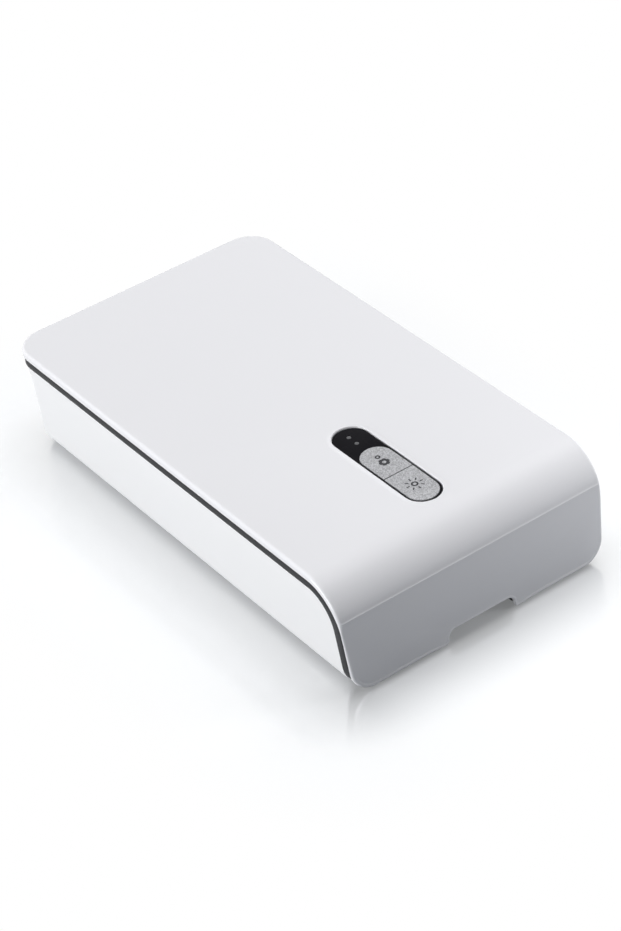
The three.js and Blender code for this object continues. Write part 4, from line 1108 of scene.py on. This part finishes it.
# ---- tray: the mirror-coated pan of the chamber, with lamp troughs and a cup for the scent pad
traySizes = {
    "rimHalf": 56.38, "rimFront": -85.7, "rimRear": 104.22, "rimCorners": (0.6, 7.8),
    "rimTop": 38.5, "rimUnder": 37,
    "half": 46, "front": -79, "rear": 94, "corner": 14, "draft": 3, "floor": 14, "wall": 1.2,
    "fillet": 2.2, "outerFillet": 2, "groove": (1.3, 3.5, 37.9), "ease": 0.12, "mouthRound": 0.75,
    "troughX": 23.92, "troughHalf": 9, "troughSink": 3.8, "troughReach": 69.6, "troughCorner": 2.5,
    "troughRims": ((0.6, 0), (0.2, 0.07), (0, 0.3)), "troughSteps": 10, "troughTurns": (8, 77),
    "troughEnd": 0.9, "middle": 7.5, "cupY": 80, "cup": 8, "cupFloor": 10.5, "cupWall": 1,
    "cupUnder": [(0, 9.7), (-0.2, 9.5)],
    "magnetWall": [(0.9, 37), (0.9, 35.35), (0.75, 35.2), (0.12, 35.2), (0, 35.3), (0, 37.3)],
    "boss": [(0, 33), (2.6, 33), (2.6, 8.2), (2.4, 8), (1.6, 8), (1.4, 8.2), (1.4, 14.4), (0, 14.5)],
}
sealSizes = {
    "near": 1.6, "far": 3.2, "low": 38.05, "top": 38.9, "ease": 0.1, "crown": 0.4,
    "turns": (0.4, 0.8, 1.2, 1.57, 1.94, 2.34, 2.74),
}


def planLoop(half, front, rear, frontCorner, rearCorner, steps=12):
    right = arcPoints(half - frontCorner, front + frontCorner, frontCorner, -90, 0, steps)
    right += arcPoints(half - rearCorner, rear - rearCorner, rearCorner, 0, 90, steps)
    return right + [(-x, y) for x, y in reversed(right)]


# The plan of the chamber, or of its outer side when it is grown by the wall
def chamberPlan(grown=0, steps=12):
    half, front, rear, corner = take(traySizes, "half front rear corner")
    corner += grown
    return planLoop(half + grown, front - grown, rear + grown, corner, corner, steps)[::-1]


# A trough: some rows at its rim, then the curve of its floor; closed at the bottom
def addTrough(shape, sizes, x, grown, rims, mouths, below=math.inf):
    middle, corner, steps, end = take(sizes, "middle troughCorner troughSteps troughEnd")
    half, sink, reach = (value + grown for value in take(sizes, "troughHalf troughSink troughReach"))
    start, turned = sizes["troughTurns"]
    rows = [(*rim, corner) for rim in rims]
    for k in range(1, steps + 1):
        turn = math.radians(start + turned * k / steps)
        width, z = half * math.cos(turn), sizes["floor"] - sink * math.sin(turn)
        if z < below:
            rows.append((width, reach - end * math.sin(turn) ** 6, z, min(corner, width * 0.96)))
    rings = []
    for width, along, z, curve in rows:
        loop = roundedLoop(x - width, x + width, middle - along, middle + along, curve)
        rings.append(addRing(shape, loop, z))
    first, last = stitch(shape, rings)
    mouths.append(first)
    fillCap(shape, [last])


def buildTray(sizes):
    shape = newShape()
    rimTop, rimUnder, floor, wall, ease = take(sizes, "rimTop rimUnder floor wall ease")
    half, sink, reach, x = take(sizes, "troughHalf troughSink troughReach troughX")
    cupY, cup, cupFloor, mouthRound = take(sizes, "cupY cup cupFloor mouthRound")

    def drawnIn(z):
        return -sizes["draft"] * (rimTop - z) / (rimTop - floor)

    def filletLevels(radius, low, steps):
        return [(drawnIn(low + up) - inset, low + up) for up, inset in roundOff(radius, steps)]

    rim = planLoop(*take(sizes, "rimHalf rimFront rimRear"), *sizes["rimCorners"])
    rimHigh, rimLow = addWall(shape, rim, [
        (0.3, rimTop), (0.09, rimTop - 0.09), (0, rimTop - 0.3), (0, rimUnder + 0.15), (0.15, rimUnder),
    ])
    near, far, deep = sizes["groove"]
    levels = [
        (far + ease, rimTop), (far, rimTop - ease), (far, deep), (near, deep), (near, rimTop - ease),
        (near - ease, rimTop), (mouthRound, rimTop),
    ]
    for inset, down in roundOff(mouthRound, 5)[1:]:
        levels.append((inset + drawnIn(rimTop - down), rimTop - down))
    mouthHigh, mouthLow = addWall(shape, chamberPlan(), levels + filletLevels(sizes["fillet"], floor, 7))
    floors = [mouthLow]
    rims = [(half + out, reach + out, floor - down) for out, down in sizes["troughRims"]]
    for side in (-1, 1):
        addTrough(shape, sizes, side * x, 0, rims, floors)
    addHole(shape, circleLoop(0, cupY, cup, 48), [
        (0.3, floor), (0.09, floor - 0.07), (0, floor - 0.3),
        (0, cupFloor + 0.4), (-0.12, cupFloor + 0.12), (-0.4, cupFloor),
    ], floors)
    fillCaps(shape, [rimHigh, mouthHigh], floors)
    under, start = floor - wall, rimUnder - 0.4
    levels = [(0.5, rimUnder), (drawnIn(start), start)] + filletLevels(sizes["outerFillet"], under, 4)
    outHigh, outLow = addWall(shape, chamberPlan(wall), levels)
    lows = [outLow]
    width = (half + wall) * math.sqrt(1 - (wall / (sink + wall)) ** 2)
    for side in (-1, 1):
        addTrough(shape, sizes, side * x, wall, [(width, reach + wall, under)], lows, under - 0.3)
    addHole(shape, circleLoop(0, cupY, cup + sizes["cupWall"], 48), [(0, under), *sizes["cupUnder"]], lows)
    fillCap(shape, lows)
    rimLows = [rimLow, outHigh]
    for side in (-1, 1):
        magnet = circleLoop(side * magnetCup["x"], magnetCup["y"], magnetCup["radius"])
        addHole(shape, magnet, sizes["magnetWall"], rimLows)
    fillCap(shape, rimLows)
    bosses = [turnedMesh("boss", sizes["boss"], shifted(*place), 24) for place in basePostPlaces]
    return joinMeshes("tray", [meshOf("tray", shape), *bosses])


def buildSeal(sizes):
    shape = newShape()
    near, far, low, ease = take(sizes, "near far low ease")
    shoulder, middle, half = sizes["top"] - sizes["crown"], (near + far) / 2, (far - near) / 2
    section = [(near, low + ease), (near + ease, low), (far - ease, low), (far, low + ease), (far, shoulder)]
    section += [(middle + half * math.cos(a), shoulder + sizes["crown"] * math.sin(a)) for a in sizes["turns"]]
    addWall(shape, chamberPlan(0, 16), section + [(near, shoulder), (near, low + ease)])
    return meshOf("chamberSeal", shape, 50)


addPiece("base_tray_pan", buildTray(traySizes), "chamberMirror", "base", ["base_tray"])
addPiece("chamber_seal_ring", buildSeal(sealSizes), "sealRubber", "base", ["chamber_seal"])
print("tray and seal done")

# ---- phone rack: two rails on legs, with the cross bars set out by a node tree
rackSizes = {
    "middle": 36, "front": -61, "rear": 76, "low": 14.3, "top": 21.3, "rail": 2.4, "foot": 1.6, "railEdge": 0.3,
    "barWidth": 2, "barHeight": 3, "bars": 10, "barRound": 0.46, "roundSteps": 5,
    "legs": (-61, 5.1, 71.2), "legLength": 4.8, "legIn": 0.15, "legEase": 0.1, "legSunk": 0.8,
}


def barTree(sizes):
    tree, given = newTree("rackBars", {
        "Geometry": "Geometry", "Count": "Int", "Pitch": "Float", "Bar Length": "Float",
        "Width": "Float", "Height": "Float",
    })
    offset = addNode(tree, "ShaderNodeCombineXYZ", {"Y": given["Pitch"]})
    line = addNode(tree, "GeometryNodeMeshLine", {"Count": given["Count"], "Offset": offset.outputs[0]})
    start, end = (
        addNode(tree, "ShaderNodeCombineXYZ", {"X": calculate(tree, "MULTIPLY", given["Bar Length"], share)})
        for share in (-0.5, 0.5)
    )
    path = addNode(tree, "GeometryNodeCurvePrimitiveLine", {"Start": start.outputs[0], "End": end.outputs[0]})
    section = addNode(tree, "GeometryNodeCurvePrimitiveQuadrilateral", {
        "Width": given["Width"], "Height": given["Height"],
    })
    rounded = addNode(tree, "GeometryNodeFilletCurve", {
        "Curve": section.outputs[0], "Radius": calculate(tree, "MULTIPLY", given["Width"], sizes["barRound"]),
        "Count": sizes["roundSteps"],
    }, mode="POLY")
    bar = addNode(tree, "GeometryNodeCurveToMesh", {
        "Curve": path.outputs[0], "Profile Curve": rounded.outputs[0], "Fill Caps": True,
    })
    placed = addNode(tree, "GeometryNodeInstanceOnPoints", {
        "Points": line.outputs[0], "Instance": bar.outputs[0],
    })
    endTree(tree, placed.outputs[0], "rackClear")
    return tree


def slab(left, right, front, rear, low, high, edge=0.2, corner=0.3):
    return plateMesh("slab", roundedLoop(left, right, front, rear, corner, 3), shifted(z=low), high - low, edge)


def buildRack(sizes):
    middle, rail, top, foot, front, rear = take(sizes, "middle rail top foot front rear")
    width, height, count, ease = take(sizes, "barWidth barHeight bars legEase")
    under, narrow = top - height, rail / 2 - sizes["legIn"]
    profile = [
        (front, under), (rear, under), (rear, top - foot), (rear - foot, top),
        (front + foot, top), (front, top - foot),
    ]
    rails, legs = [], []
    for x in (-middle, middle):
        rails.append(plateMesh("rail", profile, alongX(x - rail / 2), rail, sizes["railEdge"]))
        for y in sizes["legs"]:
            end = y + sizes["legLength"] - ease
            legs.append(slab(x - narrow, x + narrow, y + ease, end, sizes["low"], under + sizes["legSunk"]))
    bars = runTree(barTree(sizes), pointsMesh("rackBars", [(0, 0, 0)]), {
        "Count": count, "Pitch": (rear - front - width) / (count - 1) * mm,
        "Bar Length": 2 * middle * mm, "Width": width * mm, "Height": height * mm,
    })
    bars.transform(Matrix.Translation(Vector((0, front + width / 2, top - height / 2)) * mm))
    shadeMesh(bars)
    return combined("UNION", combined("UNION", joinMeshes("rails", rails), bars), joinMeshes("legs", legs))


addPiece("phone_rack_frame", buildRack(rackSizes), "rackClear", "base", ["phone_rack"])
print("rack done")

# ---- lamps, their holders and the reflectors over the lid's lamps
lampSizes = {
    "radius": 1.4, "glass": 0.35, "half": 66, "middle": 7.5, "pin": 0.5, "pinLength": 2.4, "cap": 0.9,
    "ease": 0.1, "places": {"lid": (25.99, 41.2), "base": (23.92, 12.4)}, "steps": 28,
    "cup": ((0.35, 3), (0.8, 3.2), (0.8, 6.4), (0.62, 6.4), (0.62, 3.6), (0, 3.6)),
}
holderSizes = {
    "corner": 1.2, "ends": ((0.25, 0), (0.07, 0.07), (0, 0.25)),
    "groove": 0.18, "grooves": ((2.3, 3.1), (3.9, 4.7)), "slope": 0.15, "bore": 1.5,
    "boreWall": [(0.08, 0), (0, 0.08), (0, 4.3), (-0.9, 4.3), (-0.9, 6.7)],
}
reflectorSizes = {
    "across": 25.99, "flat": 13.5, "half": 9.5, "rise": 2.3, "sheet": 0.3, "under": 41.1, "reach": 74,
    "steps": 44,
}


def buildLampTube(sizes, x, z):
    radius, half, cap, middle, ease = take(sizes, "radius half cap middle ease")
    inner, end = radius - sizes["glass"], half - cap
    profile = [
        (inner, -end), (radius - ease, -end), (radius, -end + ease), (radius, end - ease), (radius - ease, end),
        (inner, end), (inner, -end),
    ]
    return turnedMesh("lampTube", profile, alongY(x, middle, z), sizes["steps"])


# The metal at both ends: a cap, a pin outside and the electrode cup inside
def buildLampEnds(sizes, x, z):
    radius, half, cap, middle, pin, pinLength = take(sizes, "radius half cap middle pin pinLength")
    tip = half + pinLength
    profile = [
        (0, tip), (pin - 0.12, tip), (pin, tip - 0.15), (pin, half + 0.1), (pin + 0.1, half),
        (radius - 0.35, half), (radius - 0.08, half - 0.12), (radius, half - 0.35),
        (radius, half - cap), (0.35, half - cap),
        *((reach, half - back) for reach, back in sizes["cup"]),
    ]
    return joinMeshes("lampEnds", [
        turnedMesh("lampEnd", profile, alongY(x, middle, z, way), sizes["steps"]) for way in (-1, 1)
    ])


def buildHolder(sizes, low, high, way):
    (x, _, z), (width, length, height) = (low + high) / 2, high - low
    place = alongY(x, low.y if way > 0 else high.y, z, way)
    shape = newShape()
    groove, slope = take(sizes, "groove slope")
    levels = list(sizes["ends"])
    for first, last in sizes["grooves"]:
        levels += [(0, first), (groove, first + slope), (groove, last - slope), (0, last)]
    levels += [(inset, length - depth) for inset, depth in reversed(sizes["ends"])]
    outer = roundedLoop(-width / 2, width / 2, -height / 2, height / 2, sizes["corner"])
    near, far = addWall(shape, outer, levels, place)
    nears, ends = [near], []
    addHole(shape, circleLoop(0, 0, sizes["bore"], 32), sizes["boreWall"], nears, ends, place)
    fillCaps(shape, nears, ends, [far])
    return meshOf("lampHolder", shape)


def buildReflector(sizes, side):
    across, flat, half, rise, sheet, under, reach = take(sizes, "across flat half rise sheet under reach")
    middle, turns = lampSizes["middle"], [math.pi * k / sizes["steps"] for k in range(sizes["steps"] + 1)]
    section = [(flat, 0)] + [(half * math.cos(a), rise * math.sin(a)) for a in turns]
    section += [(-flat, 0), (-flat, sheet)]
    section += [((half + sheet) * math.cos(a), rise * math.sin(a) + sheet) for a in reversed(turns)]
    section += [(flat, sheet)]
    rings = [[(side * across + x, y, under + z) for x, z in section] for y in (middle - reach, middle + reach)]
    return ringsMesh("reflector", rings)


for body, (x, z) in lampSizes["places"].items():
    for side, sideName in ((-1, "left"), (1, "right")):
        name = f"{body}_lamp_{sideName}"
        tube, ends = (build(lampSizes, side * x, z) for build in (buildLampTube, buildLampEnds))
        addPiece(name + "_tube", tube, "lampQuartz", body, [name])
        addPiece(name + "_ends", ends, "platedSteel", body)
        for end, way in (("front", -1), ("rear", 1)):
            node = f"{body}_lamp_holder_{sideName}_{end}"
            low, high = (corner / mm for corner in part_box(node))
            block = buildHolder(holderSizes, low, high, way)
            addPiece(node + "_block", block, "holderCeramic", body, [node])
for side, sideName in ((-1, "left"), (1, "right")):
    node = "lid_reflector_" + sideName
    sheet = buildReflector(reflectorSizes, side)
    addPiece(node + "_sheet", sheet, "reflectorSheet", "lid", [node])
print("lamps done")

# ---- scent pad and its slotted cap
aromaSizes = {
    "y": 80, "radius": 7.7, "pad": (10.8, 13.2), "cap": (13.5, 14.6), "capEdge": 0.22,
    "slots": 5, "pitch": 2.6, "half": 0.6, "slotReach": 0.72, "slotCorner": 0.56, "padRings": 9, "jitter": 0.05,
}


def buildAromaCap(sizes):
    y, radius, half, count = take(sizes, "y radius half slots")
    low, high = sizes["cap"]
    slots = []
    for k in range(count):
        off = (k - (count - 1) / 2) * sizes["pitch"]
        reach = math.sqrt(radius ** 2 - off ** 2) * sizes["slotReach"]
        slots.append(roundedLoop(-reach, reach, y + off - half, y + off + half, sizes["slotCorner"]))
    disc = circleLoop(0, y, radius, 56)
    return plateMesh("aromaCap", disc, downFrom(high), high - low, sizes["capEdge"], slots)


def buildAromaPad(sizes):
    y, radius, count, jitter = take(sizes, "y radius padRings jitter")
    low, high = sizes["pad"]
    profile = [
        (0, low), (radius - 0.5, low), (radius - 0.1, low + 0.3), (radius - 0.1, high - 0.5),
        (radius - 0.3, high - 0.15), *((radius * k / count, high - 0.05) for k in range(count - 1, -1, -1)),
    ]
    mesh = turnedMesh("aromaPad", profile, shifted(y=y), 64)
    draws = np.random.default_rng(4)
    for vertex in mesh.vertices:
        vertex.co += Vector(draws.uniform(-jitter, jitter, 3)) * mm
    return mesh


addPiece("aroma_cap_disc", buildAromaCap(aromaSizes), "capSatinWhite", "base", ["aroma_cap"])
addPiece("aroma_pad_felt", buildAromaPad(aromaSizes), "aromaFelt", "base", ["aroma_pad"])

# ---- power socket
socketSizes = {
    "face": 104.87, "length": 8, "deep": 7.1, "half": 4.5, "low": 6.2, "high": 9.6, "corner": 1.4, "wall": 0.45,
    "tongue": (2.6, 0.38), "tongueFrom": 0.9, "tongueLength": 6.3,
    "contacts": 6, "pitch": 0.72, "contact": (0.17, 0.04), "contactSpan": (1.5, 6.2), "contactUp": 0.37,
}


def buildSocketSleeve(sizes):
    half, low, high, corner, wall, length = take(sizes, "half low high corner wall length")
    place = alongY(0, sizes["face"], 0, -1)
    shape = newShape()
    outer = roundedLoop(-half, half, low, high, corner, 8)
    inner = roundedLoop(-half + wall, half - wall, low + wall, high - wall, corner - wall, 8)
    first, last = addWall(
        shape, outer, [(0.12, 0), (0.03, 0.03), (0, 0.12), (0, length - 0.1), (0.1, length)], place,
    )
    fronts, ends = [first], []
    addHole(shape, inner, [(0.14, 0), (0.04, 0.04), (0, 0.2), (0, sizes["deep"])], fronts, ends, place)
    fillCaps(shape, fronts, ends, [last])
    return meshOf("socketSleeve", shape)


def buildSocketTongue(sizes):
    middle, (half, thin) = (sizes["low"] + sizes["high"]) / 2, sizes["tongue"]
    place = alongY(0, sizes["face"] - sizes["tongueFrom"], 0, -1)
    outline = roundedLoop(-half, half, middle - thin, middle + thin, 0.25, 4)
    return plateMesh("socketTongue", outline, place, sizes["tongueLength"], 0.12)


def buildSocketContacts(sizes):
    face, count = take(sizes, "face contacts")
    (start, end), (half, thin) = take(sizes, "contactSpan contact")
    strips = []
    for k in range(count):
        x = (k - (count - 1) / 2) * sizes["pitch"]
        for way in (-1, 1):
            z = (sizes["low"] + sizes["high"]) / 2 + way * sizes["contactUp"]
            strips.append(slab(x - half, x + half, face - end, face - start, z - thin, z + thin, 0.02, 0.08))
    return joinMeshes("socketContacts", strips)


sleeve = buildSocketSleeve(socketSizes)
addPiece("usb_socket_sleeve", sleeve, "platedSteel", "base", ["usb_socket"])
addPiece("usb_socket_tongue", buildSocketTongue(socketSizes), "driverBlack", "base")
addPiece("usb_socket_contacts", buildSocketContacts(socketSizes), "contactGold", "base")
print("socket done")

# ---- screws and feet, each kind set out by one node tree; hinge pins
screwSizes = {
    "head": 2, "shaft": 1.1, "core": 0.84, "arm": 0.26, "recess": 1.15, "recessDepth": 0.75, "steps": 24,
    "pitch": 0.8, "rowsPerTurn": 8, "point": 0.8, "tip": 0.2, "turn": 1.5,
    "headRound": [(0.45, 0), (0.16, 0.07), (0.03, 0.28), (0, 0.5)],
}
screwKinds = {
    "lid": {"places": screwPlaces, "z": 39.4, "headHeight": 1.1, "length": 3.2, "seed": 3},
    "base": {"places": basePostPlaces, "z": 1.6, "headHeight": 1.6, "length": 11, "seed": 5},
}
footProfile = [
    (0, 0.22), (3.2, 0.22), (3.5, 0.16), (3.6, 0.02), (3.75, 0), (5.2, 0), (5.62, 0.07), (5.88, 0.25),
    (6, 0.55), (6, 1.9), (0, 1.9),
]


def screwMaster(sizes, height, length):
    head, shaft, core, arm, recess, steps = take(sizes, "head shaft core arm recess steps")
    shape, heads, lows = newShape(), [], []
    rim, back = addWall(shape, circleLoop(0, 0, head, steps), [
        *sizes["headRound"], (0, height - 0.05), (0.05, height),
    ])
    heads.append(rim)
    cross = [
        (arm, arm), (arm, recess), (-arm, recess), (-arm, arm), (-recess, arm), (-recess, -arm), (-arm, -arm),
        (-arm, -recess), (arm, -recess), (arm, -arm), (recess, -arm), (recess, arm),
    ]
    addHole(shape, cross, [(0.03, 0), (-0.02, 0.08), (-0.14, sizes["recessDepth"])], heads, lows)
    fillCaps(shape, heads, lows)
    rings = [addRing(shape, circleLoop(0, 0, shaft * core, steps), height)]
    threaded = length - sizes["point"]
    rows = round(threaded / sizes["pitch"] * sizes["rowsPerTurn"])
    for row in range(1, rows + 1):
        flat = []
        for k in range(steps):
            wave = (row / rows * threaded / sizes["pitch"] - k / steps) % 1
            reach = shaft * (core + (1 - core) * max(0, 1 - abs(wave - 0.5) * 4))
            turn = 2 * math.pi * k / steps
            flat.append((reach * math.cos(turn), reach * math.sin(turn)))
        rings.append(addRing(shape, flat, height + threaded * row / rows))
    rings.append(addRing(shape, circleLoop(0, 0, sizes["tip"], steps), height + length))
    first, last = stitch(shape, rings)
    fillCaps(shape, [back, first], [last])
    return meshOf("screw", shape, 40)


def numbered(stem, places):
    return [f"{stem}_{k + 1}" for k in range(len(places))]


for body, kind in screwKinds.items():
    places = [(x, y, kind["z"]) for x, y in kind["places"]]
    master = screwMaster(screwSizes, kind["headHeight"], kind["length"])
    screws = setOnPoints(body + "Screws", places, master, "platedSteel", screwSizes["turn"], kind["seed"])
    nodes = numbered(body + "_screw", places)
    addPiece(body + "_screws_set", screws, "platedSteel", body, nodes)
foot = turnedMesh("foot", footProfile, upright, 64)
feet = setOnPoints("feet", [(x, y, 0) for x, y in footPlaces], foot, "softRubber")
addPiece("rubber_feet_set", feet, "softRubber", "base", numbered("foot", footPlaces))
for (low, high), name in zip(bothSides(hinge["pin"]), ("hinge_pin_right", "hinge_pin_left")):
    rod = rodAcross(hinge["pinRadius"], low, high, hinge["pinEdge"])
    addPiece(name + "_rod", rod, "platedSteel", "base", [name])
print("screws, feet and pins done")

bpy.context.view_layer.update()

# ---- CAD nodes that keep their shape
keptFinishes = {
    "boardGreen": ["control_board", "main_board"],
    "driverBlack": ["lamp_driver", "lid_sensor", "rear_plunger", "front_plunger"],
}
named = {node: finish for finish, nodes in keptFinishes.items() for node in nodes}
for node, thing in frame["nodes"].items():
    thing.data.materials.clear()
    thing.data.materials.append(finishes[named.get(node, "platedSteel")])
print("carried-over nodes finished")


# ---- light, world and floor: lengths in metres from here on
studio = {
    "ambient": (0.018, 0.021, 0.026), "floorHalf": 6, "floorDrop": 0.0001,
    "floorSeen": (0.61, 0.615, 0.622), "floorLift": (0.403, 0.411, 0.417), "floorBounce": (0.135, 0.155, 0.185),
    "mirror": 0.44, "mirrorRoughness": 0.16, "mirrorReach": 0.045, "fade": (0.025, 0.085),
    "aroundFoot": (0.05, 0.1), "lampAim": (0, 0, 0.03),
    # painted shadow under the object: the share of its glow the floor keeps there, the distances over which the
    # glow comes back, and the half sizes of the rectangle it lies under
    "paintedShadowShare": 0.7, "paintedShadowFade": (0.003, 0.0085), "paintedShadowUnder": (0.045, 0.104),
}
studioLamps = {
    "overhead": {"at": (0.35, 0.4, 1.45), "size": (1.4, 1.4), "power": 23, "mirrored": False},
    "leftWindow": {"at": (-1.5, 0.1, 0.25), "size": (1.4, 0.46), "power": 22},
    "rightFill": {"at": (0.25, -0.27, 0.125), "size": (0.1, 0.1), "power": 0.4, "mirrored": False},
}


def seenDirectly(tree):
    path = addNode(tree, "ShaderNodeLightPath").outputs
    either = calculate(tree, "MAXIMUM", path["Is Camera Ray"], path["Is Glossy Ray"])
    return calculate(tree, "MAXIMUM", either, path["Is Transmission Ray"])


def colored(tree, kind, color, **inputs):
    return addNode(tree, kind, {"Color": (*color, 1), **inputs}).outputs[0]


def mixShaders(tree, factor, one, other):
    return addNode(tree, "ShaderNodeMixShader", {0: factor, 1: one, 2: other}).outputs[0]


def buildWorld():
    scene.world = bpy.data.worlds.new("studio")
    scene.world.use_nodes = True
    tree = scene.world.node_tree
    tree.nodes.clear()
    ambient, white = (
        colored(tree, "ShaderNodeBackground", color, Strength=1) for color in (studio["ambient"], (1, 1, 1))
    )
    both = mixShaders(tree, seenDirectly(tree), ambient, white)
    addNode(tree, "ShaderNodeOutputWorld", {"Surface": both})


# The floor mirrors the object near it and fades to white further off; under the object, reaching
# just past its front, its own glow is turned down, which is a painted shadow
def buildFloor():
    half, z = studio["floorHalf"], -studio["floorDrop"]
    mesh = bpy.data.meshes.new("floor")
    corners = [(-half, -half, z), (half, -half, z), (half, half, z), (-half, half, z)]
    mesh.from_pydata(corners, [], [(0, 1, 2, 3)])
    floor = linkObject("floor", mesh)
    material, tree = newMaterial("studioFloor")
    tree.nodes.clear()
    place = addNode(tree, "ShaderNodeTexCoord").outputs["Object"]
    axes = addNode(tree, "ShaderNodeSeparateXYZ", {"Vector": place}).outputs

    def outside(halves):  # along x and y, how far a point is outside a rectangle
        return [
            calculate(tree, "SUBTRACT", calculate(tree, "ABSOLUTE", axes[axis]), half)
            for axis, half in zip("XY", halves)
        ]

    def smooth(value, start, end):
        return mapRange(tree, value, start, end, interpolation_type="SMOOTHSTEP")

    beyond = [calculate(tree, "MAXIMUM", off, 0.0) for off in outside(studio["aroundFoot"])]
    squares = [calculate(tree, "POWER", off, 2.0) for off in beyond]
    away = calculate(tree, "SQRT", calculate(tree, "ADD", *squares))
    sheen = smooth(away, (0.0, studio["mirrorReach"]), (studio["mirror"], 0.0))
    fade = smooth(away, studio["fade"], (0.0, 1.0))
    # painted shadow: the floor's own glow is turned down inside this rectangle under the object
    under = calculate(tree, "MAXIMUM", *outside(studio["paintedShadowUnder"]))
    paintedShadow = smooth(under, studio["paintedShadowFade"], (studio["paintedShadowShare"], 1.0))
    pale = colored(tree, "ShaderNodeBsdfDiffuse", studio["floorSeen"])
    lift = colored(tree, "ShaderNodeEmission", studio["floorLift"], Strength=paintedShadow)
    lit = addNode(tree, "ShaderNodeAddShader", {0: pale, 1: lift}).outputs[0]
    mirror = addNode(tree, "ShaderNodeBsdfGlossy", {"Roughness": studio["mirrorRoughness"]}).outputs[0]
    white = addNode(tree, "ShaderNodeEmission", {"Strength": 1.0}).outputs[0]
    seen = mixShaders(tree, fade, mixShaders(tree, sheen, lit, mirror), white)
    bounce = colored(tree, "ShaderNodeBsdfDiffuse", studio["floorBounce"])
    both = mixShaders(tree, seenDirectly(tree), bounce, seen)
    addNode(tree, "ShaderNodeOutputMaterial", {"Surface": both})
    mesh.materials.append(material)
    floor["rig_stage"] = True


def addStudioLamp(name, lamp):
    data = bpy.data.lights.new(name, "AREA")
    data.shape, data.energy = "RECTANGLE", lamp["power"]
    data.size, data.size_y = lamp["size"]
    thing = bpy.data.objects.new(name, data)
    thing.location = lamp["at"]
    thing.visible_glossy = lamp.get("mirrored", True)
    aim = Vector(studio["lampAim"]) - Vector(lamp["at"])
    thing.rotation_euler = aim.to_track_quat("-Z", "Y").to_euler()
    scene.collection.objects.link(thing)


buildWorld()
buildFloor()
for name, lamp in studioLamps.items():
    addStudioLamp(name, lamp)
scene.view_settings.view_transform = "Standard"
print("studio lit")

low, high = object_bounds()
